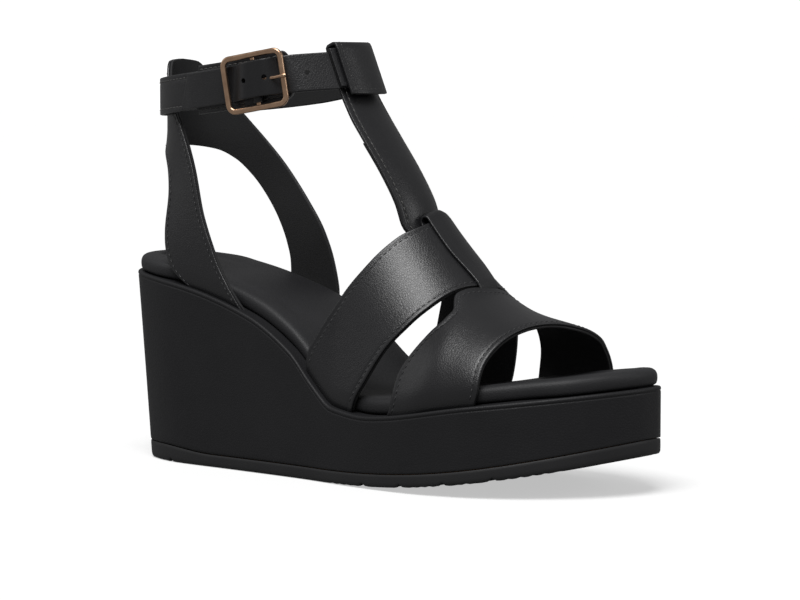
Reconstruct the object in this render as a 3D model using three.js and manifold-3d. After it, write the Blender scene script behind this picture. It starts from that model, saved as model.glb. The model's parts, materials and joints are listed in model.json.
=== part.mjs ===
// Wedge sandal for a right foot: a leather-wrapped platform wedge on a rubber outsole, a padded footbed,
// two vamp bands held together by a centre loop, a T-strap, an open heel quarter and a buckled ankle strap.
// Millimetres. +X runs from heel to toe, +Y to the inner side of the foot, +Z up; the buckle is on the -Y side.
import * as THREE from "three";
import { mergeVertices } from "three/addons/utils/BufferGeometryUtils.js";
import Module from "manifold-3d";

const wasm = await Module();
wasm.setup();

// ---- driving dimensions ----
const SHOE_LENGTH = 250; // along the platform's top edge
const SHOE_WIDTH = 91; // across the ball
const HEEL_HEIGHT = 81; // floor to the platform's top edge at the heel
const BALL_HEIGHT = 29; // the same under the ball of the foot
const TOE_HEIGHT = 42.5; // the same at the toe
const TOE_SPRING = 15.6; // how far the sole's tip is lifted off the floor
const SPRING_START = 121; // where the sole begins to lift
const HEEL_UNDERCUT = 9.5; // how far the heel leans forward on its way down
const GAP = 0.3; // clearance left between pieces that touch

const SOLE_AT_HEEL = 7.3;
const SOLE_AT_WAIST = 5.2;
const SOLE_AT_TOE = 6.4;
const WAIST_NOTCH_X = 32; // step across the sole just ahead of the heel pad
const TREAD_X = [148, 168, 188, 208];
const TREAD_DEPTH = 1.4;
const TREAD_WIDTH = 3;

const COVER_THICKNESS = 1.2; // leather wrapped round the wedge
const BOARD_THICKNESS = 2;
const BOARD_INSET = 6;
const SHANK_THICKNESS = 1.4;
const SHANK_WIDTH = 15;
const SHANK_FROM = 26;
const SHANK_TO = 118;
const FOAM_THICKNESS = 5.4;
const FOOTBED_LEATHER = 1.1;
const FOOTBED_INSET = 1.4; // at the open heel and toe

const LINING = 1; // thickness of every lining
const LEATHER = 1.2; // thickness of every outer leather
const CROWN_SHIFT = 4.5; // how far the instep's ridge lies to the inner side
const RIM = 0.8; // the upper stands this far in from the platform's edge

const ANKLE_BACK = 15; // inner face of the ankle strap's ring, at the Achilles tendon
const ANKLE_MIDDLE = 65.5; // where the ring is widest
const ANKLE_FRONT = 108.8; // and at the instep
const ANKLE_HALF_WIDTH = 26;
const ANKLE_ROUNDNESS = 0.85;
const STRAP_CENTRE_AT_BACK = 73.6; // height over the platform's heel edge
const BUCKLE_SLOPE = 0.17; // how much the buckle is tilted along the strap
const STRAP_WIDTH = 15.8;
const TAB_MARGIN = 2.3; // the backing tab is this much wider than the strap, above and below
const STRAP_LEAN = 0.42; // at the instep the strap leans back by this much of its rise
const LEAN_FROM = 84; // where it starts to lean
const LEAN_FULL = 101; // and where it leans fully
const END_THICKNESS = 1.4; // of the punched strap end

const T_STRAP_WIDTH = 25.4;
const T_ROOT_WIDTH = 15; // where it is sewn under the vamp
const T_FOLD_WIDTH = 23.6; // round the ankle strap
const LOOP_WIDTH = 16.6; // of the centre loop at the back
const LOOP_FRONT_WIDTH = 12;
const LOOP_DROP = 4.2; // the T-strap's folded end reaches this far below the ankle strap

const FRAME_LENGTH = 29.4;
const FRAME_WIRE = 2.4;
const FRAME_ROOM = 1.9; // between the strap's edge and the frame
const BAR_RADIUS = 0.9;
const TONGUE_RADIUS = 0.6;
const BUCKLE_X = 81.2;
const BUCKLE_DROP = 0.5; // the buckle hangs this far below the strap's middle
const HOLE_RADIUS = 1.1;
const HOLE_X = [79.7, 102]; // punched holes, besides the one that holds the tongue

// ---- colours and finishes ----
const leather = { color: 0x17171a, roughness: 0.42, metalness: 0 };
const lining = { color: 0x1b1b1d, roughness: 0.7, metalness: 0 };
const coverLeather = { color: 0x161618, roughness: 0.5, metalness: 0 };
const footbedLeather = { color: 0x1c1c1f, roughness: 0.6, metalness: 0 };
const rubber = { color: 0x131314, roughness: 0.75, metalness: 0 };
const foam = { color: 0x3a3a3c, roughness: 0.9, metalness: 0 };
const cork = { color: 0x9a7650, roughness: 0.9, metalness: 0 };
const board = { color: 0x8a7a62, roughness: 0.85, metalness: 0 };
const steel = { color: 0x8c8e92, roughness: 0.4, metalness: 1 };
const gold = { color: 0xb08d6e, roughness: 0.3, metalness: 1 };

// ---- curves that the pieces share ----

// A smooth curve through [x, y] points that never overshoots between two of them.
function through(points) {
  const n = points.length;
  const step = points.slice(1).map((p, i) => (p[1] - points[i][1]) / (p[0] - points[i][0]));
  const slope = points.map((_, i) => {
    if (i === 0) return step[0];
    if (i === n - 1) return step[n - 2];
    return step[i - 1] * step[i] <= 0 ? 0 : (2 * step[i - 1] * step[i]) / (step[i - 1] + step[i]);
  });
  return (x) => {
    let i = 0;
    while (i < n - 2 && x > points[i + 1][0]) i++;
    const width = points[i + 1][0] - points[i][0];
    const t = THREE.MathUtils.clamp((x - points[i][0]) / width, 0, 1);
    const rise = points[i + 1][1] - points[i][1];
    const start = slope[i] * width;
    const end = slope[i + 1] * width;
    return points[i][1] + t * (start + t * (3 * rise - 2 * start - end + t * (start + end - 2 * rise)));
  };
}

const lerp = THREE.MathUtils.lerp;
const smooth = (t) => THREE.MathUtils.smoothstep(t, 0, 1);
const radians = THREE.MathUtils.degToRad;

// Half-widths of the platform on each side, as shares of the width, at shares of the length.
const lateralShare = through([
  [0, 0.06], [0.006, 0.14], [0.02, 0.21], [0.05, 0.275], [0.14, 0.352], [0.28, 0.385], [0.44, 0.43],
  [0.6, 0.503], [0.69, 0.523], [0.77, 0.498], [0.85, 0.42], [0.91, 0.31], [0.96, 0.175], [0.985, 0.06], [1, -0.04],
]);
const medialShare = through([
  [0, 0.06], [0.006, 0.14], [0.02, 0.21], [0.05, 0.27], [0.14, 0.328], [0.28, 0.318], [0.4, 0.318],
  [0.52, 0.36], [0.64, 0.44], [0.73, 0.475], [0.81, 0.468], [0.89, 0.418], [0.945, 0.34], [0.985, 0.24], [1, 0.16],
]);
const lateral = (x) => SHOE_WIDTH * lateralShare(x / SHOE_LENGTH);
const medial = (x) => SHOE_WIDTH * medialShare(x / SHOE_LENGTH);
const side = (x, sign) => (sign < 0 ? lateral(x) : medial(x));

// The platform's top edge falls in an S from the heel to the ball, then rises a little to the toe.
const heelShare = through([
  [0, 1], [0.16, 0.907], [0.32, 0.703], [0.42, 0.442], [0.475, 0.19], [0.52, 0.04], [0.6, 0], [1, 0],
]);
const toeShare = through([[0, 0], [0.58, 0], [0.8, 0.53], [1, 1]]);
const topLine = (x) =>
  BALL_HEIGHT +
  (HEEL_HEIGHT - BALL_HEIGHT) * heelShare(x / SHOE_LENGTH) +
  (TOE_HEIGHT - BALL_HEIGHT) * toeShare(x / SHOE_LENGTH);
const floorLine = (x) => TOE_SPRING * Math.max(0, (x - SPRING_START) / (SHOE_LENGTH - SPRING_START)) ** 2;
const soleThickness = through([[0, SOLE_AT_HEEL], [25, SOLE_AT_HEEL], [60, SOLE_AT_WAIST], [180, SOLE_AT_WAIST],
  [SHOE_LENGTH, SOLE_AT_TOE]]);
const soleTop = (x) => floorLine(x) + soleThickness(x);

// The upper's inner face along the top of the foot, over the vamp.
const instepLine = through([
  [110, 157], [125, 136.5], [140, 116.3], [150, 103.4], [157, 95.2], [163, 88.8], [173, 79.2], [180, 73.6],
  [195, 67.5], [210, 64.3], [225, 61],
].map(([x, z]) => [x, z - 29 + BALL_HEIGHT]));
const archPower = through([[110, 1.49], [145, 1.62], [165, 1.6], [182, 0.98], [205, 0.95], [225, 0.95]]);
const crownShift = (x) => CROWN_SHIFT * (1 - smooth((x - 165) / 25)); // the instep's ridge lies to the inner side
const SEAT = 1.2; // the upper's lower edge stands this far above the platform's rim
const WALL_INSET = RIM + LEATHER + GAP + LINING; // from the platform's edge to the upper's inner face

// A point on the vamp's inner face: an arch across the foot at x, from phi = -90 (outer side) to 90 degrees.
function archPoint(x, degrees) {
  const phi = radians(degrees);
  const base = topLine(x) + SEAT;
  const half = side(x, degrees) - WALL_INSET;
  const rise = instepLine(x) - base;
  return new THREE.Vector3(x, half * Math.sin(phi) + crownShift(x) * Math.cos(phi) ** 4, base + rise * Math.max(0, Math.cos(phi)) ** archPower(x));
}

// The ankle ring seen from above: theta = 0 at the Achilles tendon, 180 at the instep, negative on the outer side.
const REAR_HALF = ANKLE_MIDDLE - ANKLE_BACK;
const FRONT_HALF = ANKLE_FRONT - ANKLE_MIDDLE;
function ringPoint(degrees) {
  const theta = radians(degrees);
  const half = Math.cos(theta) > 0 ? REAR_HALF : FRONT_HALF;
  const across = Math.sign(Math.sin(theta)) * ANKLE_HALF_WIDTH * Math.abs(Math.sin(theta)) ** ANKLE_ROUNDNESS;
  return new THREE.Vector2(ANKLE_MIDDLE - half * Math.cos(theta), across);
}
const ringAngle = (x) =>
  THREE.MathUtils.radToDeg(Math.acos((ANKLE_MIDDLE - x) / (x < ANKLE_MIDDLE ? REAR_HALF : FRONT_HALF)));
const strapRise = through([[15, 0], [66, 5.3], [98, 10.4], [110, 11.7]]); // the strap rises towards the instep
const strapCentre = (x) => HEEL_HEIGHT + STRAP_CENTRE_AT_BACK + strapRise(x);

// ---- ways of making a solid ----

const cleaned = (geometry) => {
  geometry.deleteAttribute("normal");
  geometry.deleteAttribute("uv");
  return mergeVertices(geometry, 1e-4);
};

// A unit box of cells whose every point (u, v, w), each 0 to 1, is moved by place.
function warpedBox(place, cellsU, cellsV, cellsW = 1) {
  const geometry = cleaned(new THREE.BoxGeometry(1, 1, 1, cellsU, cellsV, cellsW));
  const position = geometry.getAttribute("position");
  for (let i = 0; i < position.count; i++) {
    const p = place(position.getX(i) + 0.5, position.getY(i) + 0.5, position.getZ(i) + 0.5);
    position.setXYZ(i, p.x, p.y, p.z);
  }
  return geometry;
}

// A sheet between two distances from a surface, measured along the surface's own normal.
function sheet(surface, near, far, cellsU, cellsV) {
  const step = 1e-3;
  const back = (t) => Math.max(0, t - step);
  const ahead = (t) => Math.min(1, t + step);
  return warpedBox(
    (u, v, w) => {
      const du = surface(ahead(u), v).sub(surface(back(u), v));
      const dv = surface(u, ahead(v)).sub(surface(u, back(v)));
      const normal = du.cross(dv).normalize();
      return surface(u, v).addScaledVector(normal, lerp(near, far, w));
    },
    cellsU,
    cellsV,
  );
}

// A layer of the sole: everything inside the platform's outline, moved in by inset, between two height lines.
function layer(inset, low, high, { from = 0, to = SHOE_LENGTH, cells = 32, half = null } = {}) {
  return warpedBox(
    (u, v, w) => {
      const run = (1 - Math.cos(Math.PI * u)) / 2;
      const margin = inset(SHOE_LENGTH / 2);
      const x = lerp(Math.max(from, margin), Math.min(to, SHOE_LENGTH - margin), run);
      const flat = Math.max(0, x - margin * (1 - (2 * x) / SHOE_LENGTH));
      const left = half ?? Math.max(1.5, lateral(flat) - inset(x));
      const right = half ?? Math.max(1.5, medial(flat) - inset(x));
      const z = lerp(low(x), high(x), w);
      const lean = HEEL_UNDERCUT * Math.max(0, 1 - z / HEEL_HEIGHT) * Math.max(0, 1 - x / 60) ** 2;
      return new THREE.Vector3(x + lean, lerp(-left, right, v), z);
    },
    cells,
    2,
  );
}

const toSolid = (geometry) =>
  new wasm.Manifold(
    new wasm.Mesh({
      numProp: 3,
      vertProperties: new Float32Array(geometry.getAttribute("position").array),
      triVerts: new Uint32Array(geometry.index.array),
    }),
  );

function toGeometry(solid) {
  const mesh = solid.getMesh();
  return new THREE.BufferGeometry()
    .setAttribute("position", new THREE.BufferAttribute(new Float32Array(mesh.vertProperties), 3))
    .setIndex(new THREE.BufferAttribute(new Uint32Array(mesh.triVerts), 1));
}

const cut = (geometry, tools) =>
  toGeometry(tools.reduce((solid, tool) => solid.subtract(toSolid(cleaned(tool))), toSolid(geometry)));

const sandal = new THREE.Group();

function add(name, geometry, finish, parent = sandal) {
  const mesh = new THREE.Mesh(geometry, new THREE.MeshStandardMaterial(finish));
  mesh.name = name;
  parent.add(mesh);
  return mesh;
}

// ---- sole, wedge and footbed ----

const constant = (value) => () => value;
const plus = (line, amount) => (x) => line(x) + amount;

// Rubber outsole with grooves across the forefoot and a step ahead of the heel pad.
function outsole() {
  const body = layer(constant(0), floorLine, soleTop);
  const grooves = [WAIST_NOTCH_X, ...TREAD_X].map((x) =>
    new THREE.CylinderGeometry(TREAD_DEPTH, TREAD_DEPTH, 2 * SHOE_WIDTH, 4)
      .scale(TREAD_WIDTH / (2 * TREAD_DEPTH), 1, 1)
      .translate(x, 0, floorLine(x)),
  );
  return cut(body, grooves);
}
add("outsole", outsole(), rubber);

const boardTop = plus(topLine, -GAP);
const boardLow = plus(boardTop, -BOARD_THICKNESS);
const coreTop = plus(boardLow, -GAP);
const coreLow = plus(soleTop, GAP);

// The wedge's core, with a bed for the shank in its top.
function wedgeCore() {
  const body = layer(constant(COVER_THICKNESS + GAP), coreLow, coreTop);
  const bed = layer(constant(0), plus(coreTop, -SHANK_THICKNESS - 5 * GAP), plus(coreTop, GAP), {
    from: SHANK_FROM - GAP,
    to: SHANK_TO + GAP,
    cells: 18,
    half: SHANK_WIDTH / 2 + GAP,
  });
  return cut(body, [bed]);
}
add("wedge_core", wedgeCore(), cork);

// Leather wrapped round the wedge's wall, open at the top and the bottom.
function wedgeCover() {
  const wall = layer(constant(0), coreLow, topLine);
  const room = layer(constant(COVER_THICKNESS), plus(coreLow, -GAP), plus(topLine, GAP));
  return cut(wall, [room]);
}
add("wedge_cover", wedgeCover(), coverLeather);

add(
  "shank",
  layer(constant(0), plus(coreTop, -SHANK_THICKNESS - 3 * GAP), plus(coreTop, -3 * GAP), {
    from: SHANK_FROM,
    to: SHANK_TO,
    cells: 18,
    half: SHANK_WIDTH / 2,
  }),
  steel,
);
add("insole_board", layer(constant(BOARD_INSET), boardLow, boardTop), board);

// The footbed draws in along its sides to leave room for the upper that runs down past it.
const LEAN_ROOM = 1.2; // the upper leans in a little over the footbed's height
const SIDE_INSET = WALL_INSET + GAP + LEAN_ROOM;
const sideRoom = through([[0, 0], [22, 0], [40, 1], [SHOE_LENGTH - 34, 1], [SHOE_LENGTH - 16, 0], [SHOE_LENGTH, 0]]);
const footbedInset = (x) => lerp(FOOTBED_INSET, SIDE_INSET, sideRoom(x));
const foamTop = plus(topLine, GAP + FOAM_THICKNESS);
const foamInset = (x) => footbedInset(x) + FOOTBED_LEATHER + GAP;
add("footbed_foam", layer(foamInset, plus(topLine, GAP), foamTop), foam);

// Soft leather over the foam's top and down its edge.
function footbedCover() {
  const outside = layer(footbedInset, plus(topLine, GAP), plus(foamTop, GAP + FOOTBED_LEATHER));
  const inside = layer((x) => footbedInset(x) + FOOTBED_LEATHER, plus(topLine, -1), plus(foamTop, GAP));
  return cut(outside, [inside]);
}
add("footbed_cover", footbedCover(), footbedLeather);

// ---- vamp ----

const OUTER_NEAR = LINING + GAP;
const OUTER_FAR = OUTER_NEAR + LEATHER;

const vampRear = through([
  [-90, 114], [-80, 114.4], [-68, 119.8], [-55, 127.6], [-41, 136.6], [-27, 143.4], [-12, 148.4], [0, 149.6],
  [12, 149.2], [27, 146.6], [41, 141], [55, 135], [68, 130], [80, 126.5], [90, 126],
]);
const vampFront = through([
  [-90, 139.5], [-80, 142], [-70, 147], [-58, 153.3], [-45, 161], [-28, 168.2], [-12, 172.4], [0, 174.6],
  [12, 174.8], [28, 173.5], [45, 171.5], [70, 165], [90, 159],
]);
const toeRear = through([
  [-90, 158.5], [-77, 162], [-65, 162.9], [-58, 165], [-45, 172.2], [-38, 175], [-31, 175.6], [-26, 173.2],
  [-22, 171.4], [-18, 172], [-12, 173.2], [0, 175.4], [12, 175.6], [20, 175.6], [28, 178.4], [35, 181.4], [45, 181],
  [60, 179.5], [77, 176], [90, 174],
]);
const toeFront = through([
  [-90, 199], [-78, 201], [-65, 200.9], [-42, 202.6], [-20, 205.8], [-7, 208.4], [5, 210.8], [21, 215], [40, 215.3],
  [56, 213.6], [90, 212],
]);

// A band across the foot: from one side of the platform over the arch to the other, between two edges.
const band = (rear, front) => (u, v) => {
  const degrees = lerp(-90, 90, v);
  return archPoint(lerp(rear(degrees), front(degrees), u), degrees);
};

const vampSurface = band(vampRear, vampFront);
const toeSurface = band(toeRear, toeFront);
add("vamp_band_lining", sheet(vampSurface, 0, LINING, 7, 32), lining);
add("vamp_band", sheet(vampSurface, OUTER_NEAR, OUTER_FAR, 7, 32), leather);
add("toe_band_lining", sheet(toeSurface, 0, LINING, 7, 32), lining);
add("toe_band", sheet(toeSurface, OUTER_NEAR, OUTER_FAR, 7, 32), leather);

// The centre loop runs back from the toe band over the vamp band, folds round its rear edge and returns inside.
const LOOP_FRONT = toeRear(0) - 2;
const LOOP_BACK = vampRear(-12) - 2 * GAP;
const LOOP_RETURN = 10;
const LOOP_LEATHER = 1;

function centreLoop() {
  const outside = OUTER_FAR + 2 * GAP + LOOP_LEATHER / 2;
  const inside = -1.6 * GAP - LOOP_LEATHER / 2;
  const spine = (x, offset) => {
    const rise = instepLine(x + 0.5) - instepLine(x - 0.5);
    const length = Math.hypot(1, rise);
    return new THREE.Vector3(x - (offset * rise) / length, 0, instepLine(x) + offset / length);
  };
  const points = [];
  for (let i = 0; i <= 9; i++) points.push(spine(lerp(LOOP_FRONT, LOOP_BACK, i / 9), outside));
  const middle = spine(LOOP_BACK, (outside + inside) / 2);
  const radius = (outside - inside) / 2;
  const start = spine(LOOP_BACK, outside).sub(middle).normalize();
  const forward = new THREE.Vector3(-start.z, 0, start.x);
  for (let i = 1; i < 6; i++) {
    const turn = (Math.PI * i) / 6;
    points.push(
      middle
        .clone()
        .addScaledVector(start, radius * Math.cos(turn))
        .addScaledVector(forward, radius * Math.sin(turn)),
    );
  }
  for (let i = 0; i <= 4; i++) points.push(spine(LOOP_BACK + (LOOP_RETURN * i) / 4, inside));
  const path = new THREE.CatmullRomCurve3(points, false, "centripetal");
  const surface = (u, v) => {
    const p = path.getPoint(u);
    const shift = crownShift(p.x);
    const y = shift + lerp(0.5, -0.5, v) * lerp(LOOP_FRONT_WIDTH, LOOP_WIDTH, smooth(u / 0.4));
    const half = side(p.x, y) - WALL_INSET;
    let sine = (y - shift) / half;
    for (let i = 0; i < 4; i++) sine = (y - shift * (1 - sine ** 2) ** 2) / half;
    const arch = (1 - sine ** 2) ** (archPower(p.x) / 2);
    const base = topLine(p.x);
    return new THREE.Vector3(p.x, y, p.z - (instepLine(p.x) - base) * (1 - arch));
  };
  return sheet(surface, -LOOP_LEATHER / 2, LOOP_LEATHER / 2, 28, 4);
}
add("centre_loop", centreLoop(), leather);

// ---- T-strap ----

const STRAP_NEAR = OUTER_FAR + GAP; // the ankle strap passes outside the quarter
const STRAP_FAR = STRAP_NEAR + LINING + GAP + LEATHER;
const T_THICKNESS = LINING + GAP + LEATHER;

const T_UNDER_VAMP = 6.6; // depth of the T-strap below the vamp lining, measured straight down

// How far the ring's outline falls back from its front at y.
function ringDrop(y, offset) {
  const share = Math.min(0.95, Math.abs(y) / (ANKLE_HALF_WIDTH + offset));
  return (FRONT_HALF + offset) * (1 - Math.sqrt(1 - share ** (2 / ANKLE_ROUNDNESS)));
}

// The T-strap's centreline: out from under the vamp, up behind the ankle strap, over it and down its front.
function tStrapPath() {
  const middle = strapCentre(ANKLE_FRONT);
  const top = middle + STRAP_WIDTH / 2;
  const bottom = top - STRAP_WIDTH;
  const tilt = Math.atan(STRAP_LEAN);
  // A point at distance offset in front of the ankle's leaning face at height z.
  const beside = (z, offset) =>
    new THREE.Vector3(
      ANKLE_FRONT - STRAP_LEAN * (z - middle) + offset * Math.cos(tilt),
      0,
      z + offset * Math.sin(tilt),
    );
  const inner = STRAP_NEAR - 2 * GAP - T_THICKNESS / 2;
  const outer = STRAP_FAR + 1.5 * GAP + T_THICKNESS / 2;
  const under = (x, depth) => new THREE.Vector3(x, 0, instepLine(x) - depth);
  const points = [157, 152.5, 149, 146].map((x) => under(x, T_UNDER_VAMP));
  const free = [[144.7, 104.2], [142, 112.4], [135.3, 124.8], [126.2, 138.4], [119.8, 147.6]];
  for (const [x, z] of free) points.push(new THREE.Vector3(x, 0, z));
  for (const z of [bottom - 2, middle, top - 0.4]) points.push(beside(z, inner));
  const turn = T_THICKNESS / 2 + 1.5 * GAP;
  for (let i = 1; i < 4; i++) {
    const angle = (Math.PI / 8) * i;
    points.push(beside(top + turn * Math.sin(angle), inner + turn * (1 - Math.cos(angle))));
  }
  points.push(beside(top + turn, (inner + outer) / 2));
  for (let i = 3; i > 0; i--) {
    const angle = (Math.PI / 8) * i;
    points.push(beside(top + turn * Math.sin(angle), outer - turn * (1 - Math.cos(angle))));
  }
  for (const z of [top - 0.4, middle, bottom - LOOP_DROP]) points.push(beside(z, outer));
  return new THREE.CatmullRomCurve3(points, false, "centripetal");
}
const tPath = tStrapPath();
const T_LINED = 0.44; // the lining stops below the ankle strap
const tSurface = (from, to) => (u, v) => {
  const p = tPath.getPointAt(lerp(from, to, u));
  const share = lerp(from, to, u);
  const narrow = lerp(T_ROOT_WIDTH, T_STRAP_WIDTH, smooth(share / 0.15));
  const width = lerp(narrow, T_FOLD_WIDTH, smooth((share - 0.5) / 0.15));
  const y = lerp(width / 2, -width / 2, v);
  const ridge = 0.8 * CROWN_SHIFT * (1 - smooth(share / 0.55));
  return new THREE.Vector3(p.x - ringDrop(y, STRAP_NEAR), y + ridge, p.z);
};
add("t_strap", sheet(tSurface(0, 1), -T_THICKNESS / 2 + 1.1, T_THICKNESS / 2, 34, 6), leather);
add("t_strap_lining", sheet(tSurface(0, T_LINED), -T_THICKNESS / 2, -T_THICKNESS / 2 + 0.8, 12, 6), lining);

// ---- heel quarter ----

// Each edge is a list of [theta, height], from the footbed up to the Achilles tendon; a null height is the platform's.
const QUARTER_TOP = STRAP_CENTRE_AT_BACK + 17;
const QUARTER_UNDER = STRAP_CENTRE_AT_BACK - 20.5;
const above = (height) => height - 81;
const outerFront = [
  [100.5, null], [96, above(72.5)], [87.5, above(84)], [82, above(93.5)], [75, above(106)], [65.5, above(125)],
  [48.5, above(146)], [30, above(161)], [14, QUARTER_TOP - 1], [0, QUARTER_TOP],
];
const outerRear = [
  [71, null], [67, above(77.5)], [60, above(82)], [54.3, above(89)], [50.5, above(99)], [48, above(112)],
  [40, above(124)], [27, above(130.5)], [13, QUARTER_UNDER - 0.5], [0, QUARTER_UNDER],
];
const innerFront = [
  [104.5, null], [103.5, above(74)], [101, above(86)], [96, above(98)], [88, above(109)], [74, above(125)],
  [50, above(146)], [30, above(161)], [14, QUARTER_TOP - 1], [0, QUARTER_TOP],
];
const innerRear = [
  [79, null], [78.3, above(84)], [76, above(92)], [71, above(102)], [63, above(112.5)], [54, above(121)],
  [43, above(128)], [30, above(132)], [13, QUARTER_UNDER - 0.5], [0, QUARTER_UNDER],
];

const HEEL_REACH = 60; // how far the sole's outline runs either way from the ring's centre
const quarterBase = (degrees) => topLine(ANKLE_MIDDLE - HEEL_REACH * Math.cos(radians(degrees))) + SEAT;
function quarterPoint(degrees, z, sign) {
  const ring = ringPoint(degrees);
  const x = ANKLE_MIDDLE - HEEL_REACH * Math.cos(radians(degrees));
  const foot = Math.max(2, side(Math.max(8, x), sign) - WALL_INSET);
  const base = quarterBase(degrees);
  const share = 1 - smooth((z - base) / (HEEL_HEIGHT + STRAP_CENTRE_AT_BACK - 12 - base));
  return new THREE.Vector3(lerp(ring.x, x, share), sign * lerp(ring.y, foot, share), z);
}

// An edge as angle and height functions of a share of the way from the footbed to the back.
function edge(knots) {
  const last = knots.length - 1;
  const angle = through(knots.map(([theta], i) => [i / last, theta]));
  const base = quarterBase(knots[0][0]);
  const height = through(knots.map(([, z], i) => [i / last, z === null ? base : z + HEEL_HEIGHT]));
  return { angle, height };
}
const quarterEdges = {
  [-1]: [edge(outerFront), edge(outerRear)],
  [1]: [edge(innerFront), edge(innerRear)],
};
const FOOT_SHARE = 0.2; // over this share of its way up, a leg's line leaves the platform's
function quarterSurface(u, v) {
  const sign = v < 0.5 ? -1 : 1;
  const share = v < 0.5 ? 2 * v : 2 - 2 * v;
  const [front, rear] = quarterEdges[sign];
  const degrees = lerp(rear.angle(share), front.angle(share), u);
  const straight = lerp(rear.height(0), front.height(0), u);
  const seated = quarterBase(lerp(rear.angle(0), front.angle(0), u)) - straight;
  const z = lerp(rear.height(share), front.height(share), u) + seated * Math.max(0, 1 - share / FOOT_SHARE);
  return quarterPoint(degrees, z, sign);
}
add("heel_quarter_lining", sheet(quarterSurface, 0, LINING, 4, 44), lining);
add("heel_quarter", sheet(quarterSurface, OUTER_NEAR, OUTER_FAR, 4, 44), leather);

// ---- ankle strap ----

// A strip round the ring between two angles; reach is its half-width at a share of the way along.
const leant = (x, y, up) => {
  const share = smooth((x - LEAN_FROM) / (LEAN_FULL - LEAN_FROM));
  return new THREE.Vector3(x - STRAP_LEAN * share * up, y, strapCentre(x) + up);
};
const strip = (from, to, reach) => (u, v) => {
  const ring = ringPoint(lerp(from, to, u));
  return leant(ring.x, ring.y, lerp(1, -1, v) * reach(u));
};
const STRAP_START = -72; // where the backing tab takes over from the strap
const STRAP_SPLIT = 360 - 159; // where the strap's loose end begins, beside the T-strap
const TAB_END = -133;
const halfStrap = constant(STRAP_WIDTH / 2);
add("ankle_strap_lining", sheet(strip(STRAP_START, STRAP_SPLIT, halfStrap), STRAP_NEAR, STRAP_NEAR + LINING, 48, 3), lining);
add("ankle_strap", sheet(strip(STRAP_START, STRAP_SPLIT, halfStrap), STRAP_FAR - LEATHER, STRAP_FAR, 48, 3), leather);

// The tab that backs the buckle, with a rounded end towards the instep.
const tabReach = (u) => Math.max(2, (STRAP_WIDTH / 2 + TAB_MARGIN) * Math.sqrt(1 - Math.max(0, (0.14 - u) / 0.14) ** 2));
add("backing_tab", sheet(strip(TAB_END, STRAP_START - 0.6, tabReach), STRAP_NEAR, STRAP_FAR, 18, 2), leather);

// ---- buckle ----

// The buckle's own frame: x along the strap towards the instep, y up, z away from the ankle.
const BUCKLE_ANGLE = -ringAngle(BUCKLE_X);
const TAB_TO_PLANE = 3.2; // from the backing tab's face to the middle of the buckle frame
const PLANE = STRAP_FAR + TAB_TO_PLANE;
function buckleMatrix() {
  const ahead = ringPoint(BUCKLE_ANGLE - 0.5);
  const behind = ringPoint(BUCKLE_ANGLE + 0.5);
  const flat = new THREE.Vector3(ahead.x - behind.x, ahead.y - behind.y, 0).normalize();
  const along = flat.clone().setZ(BUCKLE_SLOPE).normalize();
  const out = new THREE.Vector3(flat.y, -flat.x, 0);
  const up = out.clone().cross(along).normalize();
  const ring = ringPoint(BUCKLE_ANGLE);
  const centre = new THREE.Vector3(ring.x, ring.y, strapCentre(ring.x) - BUCKLE_DROP).addScaledVector(out, PLANE);
  return new THREE.Matrix4().makeBasis(along, up, out).setPosition(centre);
}
const buckle = new THREE.Group();
buckle.applyMatrix4(buckleMatrix());
sandal.add(buckle);

function roundedRectangle(path, width, height, radius) {
  const [w, h] = [width / 2, height / 2];
  path.moveTo(w - radius, -h);
  path.absarc(w - radius, -h + radius, radius, -Math.PI / 2, 0);
  path.absarc(w - radius, h - radius, radius, 0, Math.PI / 2);
  path.absarc(-w + radius, h - radius, radius, Math.PI / 2, Math.PI);
  path.absarc(-w + radius, -h + radius, radius, Math.PI, 1.5 * Math.PI);
  path.closePath();
  return path;
}

const FRAME_HEIGHT = STRAP_WIDTH + 2 * (FRAME_ROOM + FRAME_WIRE);
function buckleFrame() {
  const bevel = FRAME_WIRE / 4;
  const outer = roundedRectangle(new THREE.Shape(), FRAME_LENGTH - 2 * bevel, FRAME_HEIGHT - 2 * bevel, 3.4);
  outer.holes.push(
    roundedRectangle(
      new THREE.Path(),
      FRAME_LENGTH - 2 * FRAME_WIRE + 2 * bevel,
      FRAME_HEIGHT - 2 * FRAME_WIRE + 2 * bevel,
      2.2,
    ),
  );
  return new THREE.ExtrudeGeometry(outer, {
    depth: FRAME_WIRE - 2 * bevel,
    bevelThickness: bevel,
    bevelSize: bevel,
    bevelSegments: 1,
    curveSegments: 5,
  }).translate(0, 0, bevel - FRAME_WIRE / 2);
}
add("buckle_frame", buckleFrame(), gold, buckle);

const BAR_Z = -BAR_RADIUS; // the bar's centre lies a little behind the frame's middle
const BAR_LENGTH = FRAME_HEIGHT - 2 * FRAME_WIRE - 2 * GAP;
const barPiece = new THREE.CylinderGeometry(BAR_RADIUS, BAR_RADIUS, BAR_LENGTH, 14);
add("buckle_bar", barPiece, gold, buckle).position.z = BAR_Z;

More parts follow.
